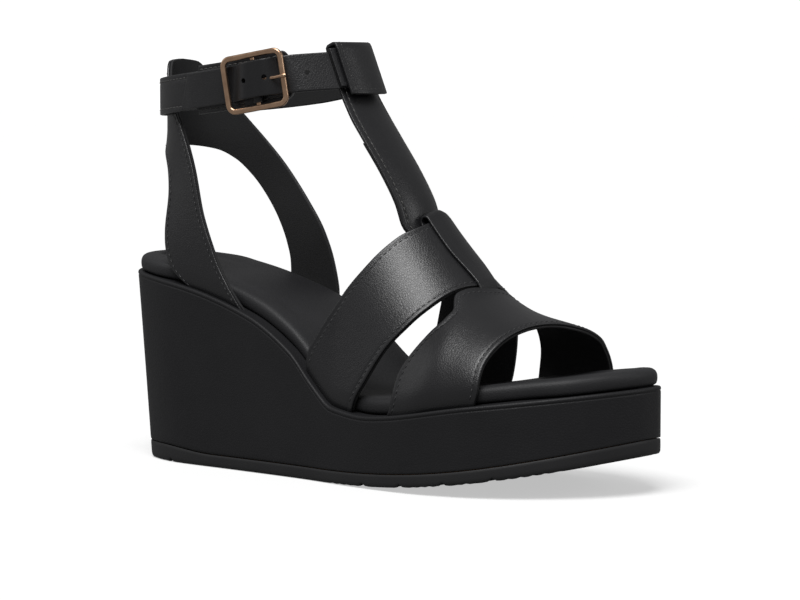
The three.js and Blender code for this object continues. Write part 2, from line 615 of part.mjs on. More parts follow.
// The tongue: an eye round the bar and a round pin that reaches over the frame's front bar.
const EYE_INNER = BAR_RADIUS + GAP;
const EYE_OUTER = EYE_INNER + 0.8;
const EYE_WIDTH = 2.4;
function tongue(grow) {
  const eye = new THREE.LatheGeometry(
    [
      [EYE_INNER - grow, -EYE_WIDTH / 2 - grow],
      [EYE_OUTER + grow, -EYE_WIDTH / 2 - grow],
      [EYE_OUTER + grow, EYE_WIDTH / 2 + grow],
      [EYE_INNER - grow, EYE_WIDTH / 2 + grow],
      [EYE_INNER - grow, -EYE_WIDTH / 2 - grow],
    ].map(([r, y]) => new THREE.Vector2(r, y)),
    18,
  ).translate(0, 0, BAR_Z);
  const from = new THREE.Vector3(EYE_INNER + 0.4, 0, BAR_Z + 0.9);
  const to = new THREE.Vector3(FRAME_LENGTH / 2 + 0.4, 0, FRAME_WIRE / 2 + GAP + TONGUE_RADIUS);
  const along = to.clone().sub(from);
  const pin = new THREE.CapsuleGeometry(TONGUE_RADIUS + grow, along.length(), 3, 10)
    .applyQuaternion(new THREE.Quaternion().setFromUnitVectors(new THREE.Vector3(0, 1, 0), along.normalize()))
    .translate((from.x + to.x) / 2, 0, (from.z + to.z) / 2);
  return toGeometry(toSolid(cleaned(eye)).add(toSolid(cleaned(pin))));
}
add("buckle_tongue", tongue(0), gold, buckle);

const CHAPE_LENGTH = 7;

// The chape: a leather strip stitched to the backing tab, rolled round the bar either side of the tongue.
function chape() {
  const width = BAR_LENGTH - 2;
  const roll = new THREE.LatheGeometry(
    [
      [EYE_INNER, -width / 2],
      [EYE_OUTER, -width / 2],
      [EYE_OUTER, width / 2],
      [EYE_INNER, width / 2],
      [EYE_INNER, -width / 2],
    ].map(([r, y]) => new THREE.Vector2(r, y)),
    18,
  ).translate(0, 0, BAR_Z);
  const flap = new THREE.BoxGeometry(CHAPE_LENGTH, width, EYE_OUTER - EYE_INNER).translate(
    -CHAPE_LENGTH / 2,
    0,
    BAR_Z - (EYE_INNER + EYE_OUTER) / 2,
  );
  const slot = new THREE.BoxGeometry(2 * EYE_OUTER + 3 * GAP, EYE_WIDTH + 2 * GAP, 2 * EYE_OUTER + 3 * GAP).translate(
    0,
    0,
    BAR_Z,
  );
  const whole = toSolid(cleaned(roll)).add(toSolid(cleaned(flap)));
  return toGeometry(whole.subtract(toSolid(cleaned(slot))));
}
add("buckle_chape", chape(), leather, buckle);

// ---- punched strap end ----

// The strap end leaves the ring beside the T-strap, goes under the front bar, over the centre bar, under the
// rear bar and on to a slanted tip. Distances are measured outward from the ring.
const END_START = -158.4;
const END_TIP = -62;
const TIP_SLANT = 5; // the tip's lower corner reaches further than its upper one
const UNDER_BAR = -FRAME_WIRE / 2 - 2 * GAP - END_THICKNESS / 2;
const OVER_BAR = BAR_Z + EYE_OUTER + 1.5 * GAP + END_THICKNESS / 2;

// The strap end's line seen from above.
function endPath() {
  const onRing = (degrees, offset) => {
    const ahead = ringPoint(degrees - 0.4);
    const behind = ringPoint(degrees + 0.4);
    const out = new THREE.Vector2(ahead.y - behind.y, behind.x - ahead.x).normalize();
    const ring = ringPoint(degrees);
    return new THREE.Vector3(ring.x + Math.sign(-out.y) * out.x * offset, ring.y - Math.abs(out.y) * offset, 0);
  };
  const onBuckle = (along, height) => new THREE.Vector3(along, 0, height).applyMatrix4(buckle.matrix).setZ(0);
  const bar = FRAME_LENGTH / 2 - FRAME_WIRE / 2;
  const laid = STRAP_FAR + GAP + END_THICKNESS / 2;
  const points = [
    onRing(END_START, (STRAP_NEAR + STRAP_FAR) / 2),
    onRing(END_START + 3.5, (STRAP_NEAR + STRAP_FAR) / 2),
    onBuckle(bar + 3.2, UNDER_BAR - 1.2),
    onBuckle(bar, UNDER_BAR - 0.2),
    onBuckle(bar - 2.5, UNDER_BAR + 0.2),
    onBuckle(bar - 7.5, OVER_BAR - 0.3),
    onBuckle(0, OVER_BAR),
    onBuckle(-4, OVER_BAR - 0.3),
    onBuckle(2.5 - bar, UNDER_BAR + 0.2),
    onBuckle(-bar, UNDER_BAR - 0.1),
    onBuckle(-bar - 3.5, UNDER_BAR - 0.6),
    onRing(END_TIP - 9, laid + 0.5),
    onRing(END_TIP - 4, laid + 0.2),
    onRing(END_TIP, laid + 0.2),
  ];
  return new THREE.CatmullRomCurve3(points, false, "centripetal");
}
buckle.updateMatrix();
const endLine = endPath();
const END_LENGTH = endLine.getLength();
function endSurface(u, v) {
  const p = endLine.getPointAt(u * (1 - (TIP_SLANT * v) / END_LENGTH));
  return leant(p.x, p.y, lerp(-1, 1, v) * (STRAP_WIDTH / 2 - 0.3));
}
// The share of its length at which the strap end passes x.
function endShare(x) {
  let low = 0;
  let high = 1;
  for (let i = 0; i < 40; i++) {
    const middle = (low + high) / 2;
    if (endLine.getPointAt(middle).x > x) low = middle;
    else high = middle;
  }
  return low;
}

function strapEnd() {
  const body = sheet(endSurface, -END_THICKNESS / 2, END_THICKNESS / 2, 44, 2);
  const holes = HOLE_X.map((x) => {
    const at = endLine.getPointAt(endShare(x));
    const hole = new THREE.CylinderGeometry(HOLE_RADIUS, HOLE_RADIUS, 12, 12);
    const run = endLine.getTangentAt(endShare(x));
    hole.rotateZ(Math.atan2(run.y, run.x));
    return hole.translate(at.x, at.y, strapCentre(at.x));
  });
  const room = tongue(GAP).applyMatrix4(buckle.matrix);
  return cut(body, [...holes, room]);
}
add("strap_end", strapEnd(), leather);

// ---- place the sandal with its origin on the floor under the middle of its box ----
sandal.updateMatrixWorld(true);
const extent = new THREE.Box3().setFromObject(sandal);
const middle = extent.getCenter(new THREE.Vector3());
sandal.position.set(-middle.x, -middle.y, -extent.min.z);

export default sandal;
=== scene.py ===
"""A wedge sandal for a right foot, dressed as the real one: leather-wrapped wedge, padded footbed, vamp bands,
T-strap, heel quarter and buckled ankle strap. The pieces are worked out in the last's own millimetres, where
x runs from heel 0 to toe 250, y from the centreline to the inner side of the foot, and z up from the floor."""
import json
import math

import bpy
import numpy as np
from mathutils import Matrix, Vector


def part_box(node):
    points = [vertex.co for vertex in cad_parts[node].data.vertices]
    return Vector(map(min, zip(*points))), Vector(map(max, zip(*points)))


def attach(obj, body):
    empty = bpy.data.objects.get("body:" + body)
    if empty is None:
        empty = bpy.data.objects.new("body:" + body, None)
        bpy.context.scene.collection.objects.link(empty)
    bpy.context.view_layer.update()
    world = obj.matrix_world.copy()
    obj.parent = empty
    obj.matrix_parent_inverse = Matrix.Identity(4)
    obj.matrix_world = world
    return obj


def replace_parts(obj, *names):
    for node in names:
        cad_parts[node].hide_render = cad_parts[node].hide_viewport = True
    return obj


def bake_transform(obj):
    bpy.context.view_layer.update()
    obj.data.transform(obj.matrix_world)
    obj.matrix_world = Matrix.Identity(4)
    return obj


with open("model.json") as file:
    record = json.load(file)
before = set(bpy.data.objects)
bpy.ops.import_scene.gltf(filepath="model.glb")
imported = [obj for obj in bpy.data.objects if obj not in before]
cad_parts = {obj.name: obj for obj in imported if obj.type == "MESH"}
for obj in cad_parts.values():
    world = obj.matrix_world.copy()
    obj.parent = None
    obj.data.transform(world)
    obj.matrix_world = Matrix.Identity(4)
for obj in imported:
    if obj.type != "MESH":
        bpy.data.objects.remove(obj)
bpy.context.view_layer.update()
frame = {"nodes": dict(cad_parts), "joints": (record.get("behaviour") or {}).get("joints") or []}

camera = bpy.data.objects.new("camera", bpy.data.cameras.new("camera"))
camera.data.lens = 130.2
camera.data.sensor_width = 36
camera.data.dof.use_dof = False
camera.data.clip_end = 30
LOOK_AROUND = math.radians(37.44)
camera.location = (1.1946 * math.sin(LOOK_AROUND), 0.0022 - 1.1946 * math.cos(LOOK_AROUND), 0.1647)
camera.rotation_euler = (math.radians(90 - 4.46), 0, LOOK_AROUND - math.radians(0.31))
bpy.context.scene.collection.objects.link(camera)
bpy.context.scene.camera = camera

# ---- studio ----
# A pale paper floor under a broad overhead light, with two weak side boxes to draw the edges. Paper and sky look
# bright to the camera and are dim to every other ray, so that the black leather stays black.
bpy.context.scene.view_settings.view_transform = "Standard"


class Socket:
    """One output of a shader node. Sums, differences, products, quotients and powers of sockets and numbers add
    Math nodes, and node() adds any other kind from its settings and the values or links of its inputs."""

    def __init__(self, tree, output=None):
        self.tree, self.output = tree, output

    def node(self, kind, inputs=(), out=0, **settings):
        made = self.tree.nodes.new("ShaderNode" + kind)
        for key, value in settings.items():
            if key == "stops":
                while len(made.color_ramp.elements) < len(value):
                    made.color_ramp.elements.new(0.5)
                for element, (position, grey) in zip(made.color_ramp.elements, value):
                    element.position, element.color = position, (grey, grey, grey, 1)
            else:
                setattr(made, key, value)
        for key, value in dict(inputs).items():
            if isinstance(value, Socket):
                self.tree.links.new(value.output, made.inputs[key])
            else:
                made.inputs[key].default_value = value
        return Socket(self.tree, made.outputs[out] if len(made.outputs) else None)

    def tones(self, factor, dark, light):
        """A colour between two, mixed by factor."""
        return self.node("Mix", {"Factor": factor, 6: (*dark, 1), 7: (*light, 1)}, out=2, data_type="RGBA")

    def surface(self, shader):
        self.node("OutputMaterial", {"Surface": shader})

    def math(self, operation, *values):
        return self.node("Math", dict(enumerate(values)), operation=operation)

    def __add__(self, other):
        return self.math("ADD", self, other)

    __radd__ = __add__

    def __mul__(self, other):
        return self.math("MULTIPLY", self, other)

    __rmul__ = __mul__

    def __sub__(self, other):
        return self.math("SUBTRACT", self, other)

    def __rsub__(self, other):
        return self.math("SUBTRACT", other, self)

    def __truediv__(self, other):
        return self.math("DIVIDE", self, other)

    def __pow__(self, other):
        return self.math("POWER", self, other)


def new_finish(name):
    """A material whose tree is empty but for its output, as a Socket to build on."""
    material = bpy.data.materials.new(name)
    material.use_nodes = True
    material.node_tree.nodes.clear()
    return material, Socket(material.node_tree)


def paper_finish():
    """Pale backdrop paper: to the camera half lit and half glowing, with a faint mottle; to other rays a dim grey."""
    material, s = new_finish("backdrop_paper")
    mottle = s.node("TexNoise", {"Vector": s.node("TexCoord", out=3), "Scale": 3.0})
    tone = s.tones(mottle, (0.93, 0.93, 0.93), (0.96, 0.96, 0.96))
    shader = s.node("BsdfPrincipled", {"Base Color": tone, "Roughness": 0.9, "Specular IOR Level": 0.1})
    dim = s.node("BsdfDiffuse", {"Color": (0.22, 0.22, 0.22, 1)})
    glow = s.node("Emission", {"Color": (1, 1, 1, 1), "Strength": 1.0})
    lifted = s.node("MixShader", {0: 0.5, 1: shader, 2: glow})
    s.surface(s.node("MixShader", {0: s.node("LightPath"), 1: dim, 2: lifted}))
    return material


floor_mesh = bpy.data.meshes.new("floor")
floor_mesh.from_pydata([(-9, -9, 0), (9, -9, 0), (9, 9, 0), (-9, 9, 0)], [], [(0, 1, 2, 3)])
floor = bpy.data.objects.new("floor", floor_mesh)
bpy.context.scene.collection.objects.link(floor)
floor_mesh.materials.append(paper_finish())

sky = bpy.data.worlds.new("studio")
sky.use_nodes = True
around = Socket(sky.node_tree)
sky.node_tree.nodes.clear()
seen = around.node("LightPath")
white = around.node("Background", {"Color": (1, 1, 1, 1), "Strength": 1.1})
soft = around.node("Background", {"Color": (1, 1, 1, 1), "Strength": 0.22})
around.node("OutputWorld", {"Surface": around.node("MixShader", {0: seen, 1: soft, 2: white})})
bpy.context.scene.world = sky


def soft_box(name, size, watts, place, aim=(0, 0, 0.08)):
    """A square area lamp of that size in metres, at place and turned to aim."""
    lamp = bpy.data.lights.new(name, "AREA")
    lamp.shape, lamp.size, lamp.energy = "SQUARE", size, watts
    box = bpy.data.objects.new(name, lamp)
    box.location = place
    box.rotation_euler = (Vector(aim) - Vector(place)).to_track_quat("-Z", "Y").to_euler()
    bpy.context.scene.collection.objects.link(box)


overhead = bpy.data.lights.new("overhead_silk", "SUN")
overhead.energy, overhead.angle = 3.1, math.radians(36)
silk = bpy.data.objects.new("overhead_silk", overhead)
silk.rotation_euler = Vector((-0.14, 0.42, -0.9)).to_track_quat("-Z", "Y").to_euler()
bpy.context.scene.collection.objects.link(silk)
soft_box("left_box", 0.7, 1.2, (-1.1, -0.6, 0.7))
soft_box("right_box", 0.6, 2.4, (1.2, 0.5, 0.6))

# ---- outsole ----
# Moulded black rubber, thin at the waist and thicker under heel and toe, with a step ahead of the heel pad and
# V grooves across the forefoot. It is cemented under the wrapped wedge.
SHOE_LENGTH, SHOE_WIDTH = 250.0, 91.0
HEEL_HEIGHT, BALL_HEIGHT, TOE_HEIGHT = 81.0, 29.0, 42.5
GAP = 0.3
LAST_TO_FRAME = Vector((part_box("wedge_cover")[0].x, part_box("wedge_cover")[0].y + 0.523 * SHOE_WIDTH / 1000, 0))


def through(*knots):
    """A smooth curve through (x, y) knots: cubic pieces whose slope at a knot is the harmonic mean of the steps
    on its two sides, or level where the steps change sign, so that it never overshoots."""
    x, y = np.array(knots, float).T
    step = np.diff(y) / np.diff(x)
    before, after = step[:-1], step[1:]
    turning = before * after <= 0
    mean = 2 * before * after / np.where(turning, 1, before + after)
    slope = np.r_[step[0], np.where(turning, 0, mean), step[-1]]

    def curve(at):
        at = np.asarray(at, float)
        i = np.clip(np.searchsorted(x, at) - 1, 0, len(x) - 2)
        width = x[i + 1] - x[i]
        t = np.clip((at - x[i]) / width, 0, 1)
        rise, start, end = y[i + 1] - y[i], slope[i] * width, slope[i + 1] * width
        return y[i] + t * (start + t * (3 * rise - 2 * start - end + t * (start + end - 2 * rise)))

    return curve


def lerp(a, b, t):
    return a + (b - a) * t


def smooth(t):
    """0 below 0, 1 above 1 and 3t^2 - 2t^3 between."""
    t = np.clip(t, 0, 1)
    return t * t * (3 - 2 * t)


outer_share = through((0, 0.06), (0.006, 0.14), (0.02, 0.21), (0.05, 0.275), (0.14, 0.352), (0.28, 0.385),
                      (0.44, 0.43), (0.6, 0.503), (0.69, 0.523), (0.77, 0.498), (0.85, 0.42), (0.91, 0.31),
                      (0.96, 0.175), (0.985, 0.06), (1, -0.04))
inner_share = through((0, 0.06), (0.006, 0.14), (0.02, 0.21), (0.05, 0.27), (0.14, 0.328), (0.28, 0.318),
                      (0.4, 0.318), (0.52, 0.36), (0.64, 0.44), (0.73, 0.475), (0.81, 0.468), (0.89, 0.418),
                      (0.945, 0.34), (0.985, 0.24), (1, 0.16))
heel_share = through((0, 1), (0.16, 0.907), (0.32, 0.703), (0.42, 0.442), (0.475, 0.19), (0.52, 0.04), (0.6, 0), (1, 0))
toe_share = through((0, 0), (0.58, 0), (0.8, 0.53), (1, 1))
sole_thickness = through((0, 7.3), (25, 7.3), (60, 5.2), (180, 5.2), (250, 6.4))


def half_width(x, side):
    """Distance from the centreline to the platform's edge at x, on the side whose sign is given."""
    share = np.asarray(x, float) / SHOE_LENGTH
    return SHOE_WIDTH * np.where(np.asarray(side) < 0, outer_share(share), inner_share(share))


def top_line(x):
    """The platform's top edge: an S from the heel down to the ball, and a slow rise to the toe."""
    share = np.asarray(x, float) / SHOE_LENGTH
    return (BALL_HEIGHT + (HEEL_HEIGHT - BALL_HEIGHT) * heel_share(share)
            + (TOE_HEIGHT - BALL_HEIGHT) * toe_share(share))


def floor_line(x):
    """Toe spring: the sole lifts off the floor from x = 121 as a parabola, 15.6 high at the tip."""
    return 15.6 * (np.clip(np.asarray(x, float) - 121, 0, None) / 129) ** 2


def smooth_outline():
    """The platform's edge as two functions of x, its tips rounded: points round the edge a millimetre apart are
    averaged with their neighbours twelve times."""
    x = SHOE_LENGTH * (1 - np.cos(np.linspace(0, math.pi, 200))) / 2
    tip = (half_width(SHOE_LENGTH, 1) - half_width(SHOE_LENGTH, -1)) / 2
    halves = []
    for side in (-1, 1):
        line = np.r_[[(0, 0)], np.c_[x, side * half_width(x, side)], [(SHOE_LENGTH, tip)]]
        run = np.r_[0, np.cumsum(np.hypot(*np.diff(line, axis=0).T))]
        even = np.linspace(0, run[-1], 301)
        halves.append(np.c_[np.interp(even, run, line[:, 0]), np.interp(even, run, line[:, 1])])
    ring = np.r_[halves[0], halves[1][-2:0:-1]]
    for _ in range(12):
        ring = (np.roll(ring, 1, 0) + 2 * ring + np.roll(ring, -1, 0)) / 4
    return ring[:301], np.r_[ring[300:], ring[:1]][::-1]


outer_edge, inner_edge = smooth_outline()


def edge_ring(stations):
    """The platform's outline at those x, heel to toe along the outer side and back along the inner side, with the
    outward normal of each point: two arrays of as many rows as there are points, (x, y) in each."""
    stations = np.clip(stations, outer_edge[0, 0], outer_edge[-1, 0])
    outer = np.interp(stations, outer_edge[:, 0], outer_edge[:, 1])
    inner = np.interp(stations, inner_edge[:, 0], inner_edge[:, 1])
    ring = np.r_[np.c_[stations, outer], np.c_[stations, inner][-2:0:-1]]
    ahead = np.roll(ring, -1, 0) - np.roll(ring, 1, 0)
    normal = np.c_[ahead[:, 1], -ahead[:, 0]]
    return ring, normal / np.linalg.norm(normal, axis=1)[:, None]


def heel_lean(x, z):
    """How far the heel leans forward at height z: 9.5 at the floor, none at the top, fading out by x = 60."""
    return 9.5 * np.clip(1 - z / HEEL_HEIGHT, 0, None) * np.clip(1 - x / 60, 0, None) ** 2


def ring_rows(ring, normal, insets, heights):
    """Stacks the outline moved in by each inset at each row of heights: an array of rows by points by xyz."""
    rows = []
    for inset, z in zip(insets, heights):
        x, y = (ring - normal * np.reshape(inset, (-1, 1))).T
        rows.append(np.c_[x + heel_lean(x, z), y, np.broadcast_to(z, x.shape)])
    return np.array(rows)


def ring_faces(rows, around, closed_rows=False, start=0):
    """Quads of a grid of rows by points that closes round, and row to row as well if asked."""
    index = start + np.arange(rows * around).reshape(rows, around)
    low = index if closed_rows else index[:-1]
    high = np.roll(index, -1, 0) if closed_rows else index[1:]
    quads = np.stack([low, np.roll(low, -1, 1), np.roll(high, -1, 1), high], -1)
    return quads.reshape(-1, 4)


def cap(ring_index, ring_points, columns, height, start):
    """Fills a ring whose points pair up across the shoe: straight bars between each pair, cut into columns and
    lifted by height(points, share across). Returns the new points and the faces."""
    half = len(ring_index) // 2
    near = np.arange(1, half)
    far = len(ring_index) - near
    share = np.linspace(0, 1, columns + 1)[1:-1]
    bars = lerp(ring_points[near][:, None], ring_points[far][:, None], share[None, :, None])
    bars = height(bars, np.broadcast_to(share, bars.shape[:2]))
    inside = start + np.arange(bars.shape[0] * bars.shape[1]).reshape(bars.shape[:2])
    index = np.c_[ring_index[near], inside, ring_index[far]]
    quads = np.stack([index[:-1, :-1], index[1:, :-1], index[1:, 1:], index[:-1, 1:]], -1).reshape(-1, 4)
    tips = [(ring_index[0], index[0, c], index[0, c + 1]) for c in range(columns)]
    tips += [(ring_index[half], index[-1, c + 1], index[-1, c]) for c in range(columns)]
    return bars.reshape(-1, 3), quads, tips


def capped(rows, below, above):
    """Stacked outlines closed by a cap at each end, given as (columns, height): all points, quads and end faces."""
    levels, around = rows.shape[:2]
    points, faces, tips, count = [rows.reshape(-1, 3)], [ring_faces(levels, around)], [], levels * around
    for row, (columns, height), turn in ((0, below, -1), (levels - 1, above, 1)):
        more, quads, ends = cap(row * around + np.arange(around), rows[row], columns, height, count)
        points.append(more)
        faces.append(quads[:, ::turn])
        tips += [e[::turn] for e in ends]
        count += len(more)
    return np.concatenate(points), np.concatenate(faces), tips


def straight(bars, share):
    """Leaves a cap's bars straight."""
    return bars


def new_piece(name, points, quads, finish, body="root", extra=(), sharp=50):
    """Makes a mesh of those millimetre points, turns its faces outwards by the sign of its volume, and rides it."""
    points = np.asarray(points, float).reshape(-1, 3)
    quads = np.asarray(quads, int)
    a, b, c, d = (points[quads[:, i]] for i in range(4))
    volume = np.einsum("ij,ij->", a, np.cross(b, c)) + np.einsum("ij,ij->", a, np.cross(c, d))
    faces = [q[::-1] for q in quads.tolist()] if volume < 0 else quads.tolist()
    faces += [list(f)[::-1] if volume < 0 else list(f) for f in extra]
    mesh = bpy.data.meshes.new(name)
    mesh.from_pydata((points / 1000 + np.array(LAST_TO_FRAME)).tolist(), [], faces)
    mesh.polygons.foreach_set("use_smooth", np.ones(len(mesh.polygons), bool))
    mesh.set_sharp_from_angle(angle=math.radians(sharp))
    mesh.materials.append(finish)
    piece = bpy.data.objects.new(name, mesh)
    bpy.context.scene.collection.objects.link(piece)
    if body:
        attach(piece, body)
    return piece


def rubber_finish():
    """Matte moulded rubber: near black, a fine sandy texture and faint dusty patches."""
    material, s = new_finish("black_rubber")
    place = s.node("TexCoord", out=3)
    sand = s.node("TexNoise", {"Vector": place, "Scale": 1900.0, "Detail": 2.0})
    patch = s.node("TexNoise", {"Vector": place, "Scale": 45.0, "Detail": 3.0})
    tone = s.tones(patch, (0.008, 0.008, 0.009), (0.015, 0.015, 0.016))
    bump = s.node("Bump", {"Height": sand, "Strength": 0.35, "Distance": 0.0002})
    shader = s.node("BsdfPrincipled", {"Base Color": tone, "Roughness": 0.52 + 0.14 * patch, "Normal": bump,
                                       "Specular IOR Level": 0.42})
    s.surface(shader)
    return material


GROOVES = (148.0, 168.0, 188.0, 208.0)
WAIST_STEP = 32.0


def tread_lift(x):
    """Depth cut into the sole's underside at x: V grooves 1.5 deep and 3.2 wide, the step ahead of the heel pad,
    and shallow ribs under the ball and the heel."""
    cut = np.zeros_like(x)
    for groove in GROOVES:
        cut = np.maximum(cut, 1.5 * np.clip(1 - np.abs(x - groove) / 1.6, 0, 1))
    step = 1.4 * np.clip(1 - np.abs(x - WAIST_STEP) / 1.6, 0, 1)
    ribs = 0.35 * np.clip(1 - np.abs((x % 4) - 2) / 0.9, 0, 1) * ((x > 128) & (x < 232) | (x < 28) & (x > 8))
    return np.maximum(np.maximum(cut, step), ribs)


def stations(count, marks=()):
    """x values close together at the heel and toe tips, plus any marks between."""
    x = SHOE_LENGTH * (1 - np.cos(np.linspace(0, math.pi, count))) / 2
    keep = [v for v in x if all(abs(v - m) > 0.35 for m in marks)]
    return np.array(sorted([*keep, *marks]))


def make_outsole():
    marks = sorted({g + d for g in (*GROOVES, WAIST_STEP) for d in (-1.6, -0.8, 0, 0.8, 1.6)})
    ring, normal = edge_ring(stations(190, marks))
    x = ring[:, 0]
    low, high = floor_line(x), floor_line(x) + sole_thickness(x)
    lift = tread_lift(x)
    insets = [2.6, 1.5, 0.7, 0.25, 0.05, 0, 0, 0, 0.05, 0.3, 1.2]
    shares = [0, 0, 0.04, 0.12, 0.24, 0.4, 0.6, 0.8, 0.93, 1, 1]
    heights = [lerp(low + lift * max(0, 1 - 2.2 * w) + (0.25 if w == 0 and i == 0 else 0), high, w)
               for i, w in enumerate(shares)]
    rows = ring_rows(ring, normal, insets, heights)

    def ribbed(bars, share):
        x = bars[..., 0]
        z = floor_line(x) + 0.25 + np.maximum(tread_lift(x), 0)
        return np.stack([x, bars[..., 1], z], -1)

    points, faces, tips = capped(rows, (16, ribbed), (4, straight))
    return new_piece("outsole_rubber", points, faces, rubber_finish(), extra=tips, sharp=38)


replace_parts(make_outsole(), "outsole")

# ---- wedge ----
# A cork core with a steel shank let into its top and a fibre insole board over it, all hidden by smooth leather
# that is wrapped round the wall, turned over the top edge and lasted under the sole.
COVER_LEATHER = 1.2


def speckled_finish(name, dark, light, grain, roughness, metal=0.0):
    """A plain ground of two tones mixed by a noise whose grain is given in metres, with a little bump."""
    material, s = new_finish(name)
    noise = s.node("TexNoise", {"Vector": s.node("TexCoord", out=3), "Scale": 1 / grain, "Detail": 4.0})
    tone = s.tones(noise, dark, light)
    bump = s.node("Bump", {"Height": noise, "Strength": 0.4, "Distance": grain / 6})
    shader = s.node("BsdfPrincipled", {"Base Color": tone, "Roughness": roughness + 0.1 * noise, "Normal": bump,
                                       "Metallic": metal})
    s.surface(shader)
    return material


def make_core():
    """Cork ground to the platform's outline, moved in by the leather's thickness."""
    ring, normal = edge_ring(stations(120))
    x = ring[:, 0]
    low, high = floor_line(x) + sole_thickness(x) - 0.02, top_line(x) - 2.8
    shares = np.linspace(0, 1, 9)
    rows = ring_rows(ring, normal, [1.6] * 9, [lerp(low, high, w) for w in shares])
    points, faces, tips = capped(rows, (8, straight), (8, straight))
    cork = speckled_finish("cork", (0.16, 0.08, 0.035), (0.42, 0.25, 0.13), 0.0022, 0.8)
    return new_piece("wedge_cork", points, faces, cork, extra=tips)


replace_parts(make_core(), "wedge_core")
fibre_board = speckled_finish("fibre_board", (0.24, 0.18, 0.11), (0.36, 0.28, 0.18), 0.0009, 0.8)
spring_steel = speckled_finish("spring_steel", (0.32, 0.33, 0.35), (0.5, 0.51, 0.53), 0.0006, 0.3, 1.0)
for node, finish in (("insole_board", fibre_board), ("shank", spring_steel)):
    frame["nodes"][node].material_slots[0].material = finish


def leather_finish(name, dark, light, pebble, depth, gloss, crease=0.3, level=0.4):
    """Grained leather: warped cells of about pebble metres give the grain, a finer noise its pores and a broad one
    its slow changes of tone and gloss. gloss is the roughness of the smooth ground."""
    material, s = new_finish(name)
    place = s.node("TexCoord", out=3)
    drift = s.node("TexNoise", {"Vector": place, "Scale": 0.45 / pebble, "Detail": 1.0}, out=1)
    bent = s.node("VectorMath", {0: drift, 3: 0.7 * pebble}, operation="SCALE")
    spot = s.node("VectorMath", {0: place, 1: bent}, operation="ADD")
    cells = s.node("TexVoronoi", {"Vector": spot, "Scale": 1 / pebble}, feature="DISTANCE_TO_EDGE")
    dome = s.node("ValToRGB", {"Fac": cells}, stops=((0.0, 0.0), (0.16, 0.72), (0.45, 1.0)))
    pores = s.node("TexNoise", {"Vector": place, "Scale": 3.2 / pebble, "Detail": 2.0})
    broad = s.node("TexNoise", {"Vector": place, "Scale": 42.0, "Detail": 3.0, "Roughness": 0.55})
    height = 0.6 * dome + 0.35 * pores + crease * broad
    bump = s.node("Bump", {"Height": height, "Strength": depth, "Distance": pebble * 0.25})
    tone = s.tones(broad * 0.7 + 0.3 * dome, dark, light)
    rough = gloss + 0.16 * (broad - 0.5) - 0.07 * (dome - 0.6) + 0.05 * (pores - 0.5)
    shader = s.node("BsdfPrincipled", {"Base Color": tone, "Roughness": rough, "Normal": bump,
                                       "Specular IOR Level": level})
    s.surface(shader)
    return material


wrap_leather = leather_finish("wrap_leather", (0.0085, 0.0085, 0.0095), (0.016, 0.016, 0.0175), 0.0011, 0.28, 0.5,
                              0.8, 0.24)


def make_wedge_cover():
    """The wall from the seam over the outsole to the platform's edge, a low welt round its top, and the turned-in
    leather inside. Rows are (inset, share of the wall, drop from the top edge)."""
    ring, normal = edge_ring(stations(170))
    x = ring[:, 0]
    low, top = floor_line(x) + sole_thickness(x) + GAP, top_line(x)
    wall = [(1.1, 0, 0), (0.5, 0.0, 0), (0.12, 0.006, 0)] + [(0, w, 0) for w in np.linspace(0.02, 1, 34)]
    insets = [i for i, _, _ in wall]
    heights = [lerp(low, top - 2.6, w) for _, w, _ in wall]
    for inset, drop in ((0.0, 2.35), (0.06, 2.1), (0.2, 1.9), (0.2, 1.7), (0.04, 1.5), (-0.06, 1.2), (-0.05, 0.8),
                        (0.1, 0.4), (0.4, 0.12), (0.8, 0), (1.3, 0.06), (2.2, 0.12), (4.5, 0.1), (6.2, -0.1),
                        (7.3, -0.15), (7.4, 0.1), (6.2, 0.2), (5.6, 1.2), (3.0, 1.3), (1.6, 1.5), (1.2, 2.2)):
        insets.append(inset)
        heights.append(top - drop)
    for w in (1, 0.5, 0):
        insets.append(COVER_LEATHER)
        heights.append(lerp(low, top - 2.6, w))
    rows = ring_rows(ring, normal, insets, heights)
    return new_piece("wedge_leather", rows, ring_faces(len(rows), len(ring), closed_rows=True), wrap_leather,
                     sharp=60)


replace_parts(make_wedge_cover(), "wedge_cover")

# ---- footbed ----
# A foam cushion in matte leather whose edge is rolled over the foam, with a seam pressed round the heel and one
# across the waist. It is cemented to the insole board, between the feet of the upper.
pad_side = through((0, 0), (22, 0), (40, 1), (216, 1), (234, 0), (250, 0))
footbed_leather = leather_finish("footbed_leather", (0.012, 0.012, 0.013), (0.021, 0.021, 0.023), 0.0009, 0.35, 0.52,
                                 0.5, 0.3)
PAD_HEIGHT = 6.9


def pad_surface(x, y):
    """Height of the pad over the platform's edge: a shallow cup at the heel, a raised arch on the inner side and a
    slight dish under the ball."""
    cup = -1.1 * np.exp(-((x - 32) / 26) ** 2) * (1 - np.clip(np.abs(y) / 30, 0, 1) ** 2)
    arch = 1.0 * np.exp(-((x - 98) / 30) ** 2) * smooth((y - 2) / 24)
    ball = -0.6 * np.exp(-((x - 180) / 30) ** 2) * (1 - np.clip(np.abs(y) / 36, 0, 1) ** 2)
    return PAD_HEIGHT - 0.2 + cup + arch + ball


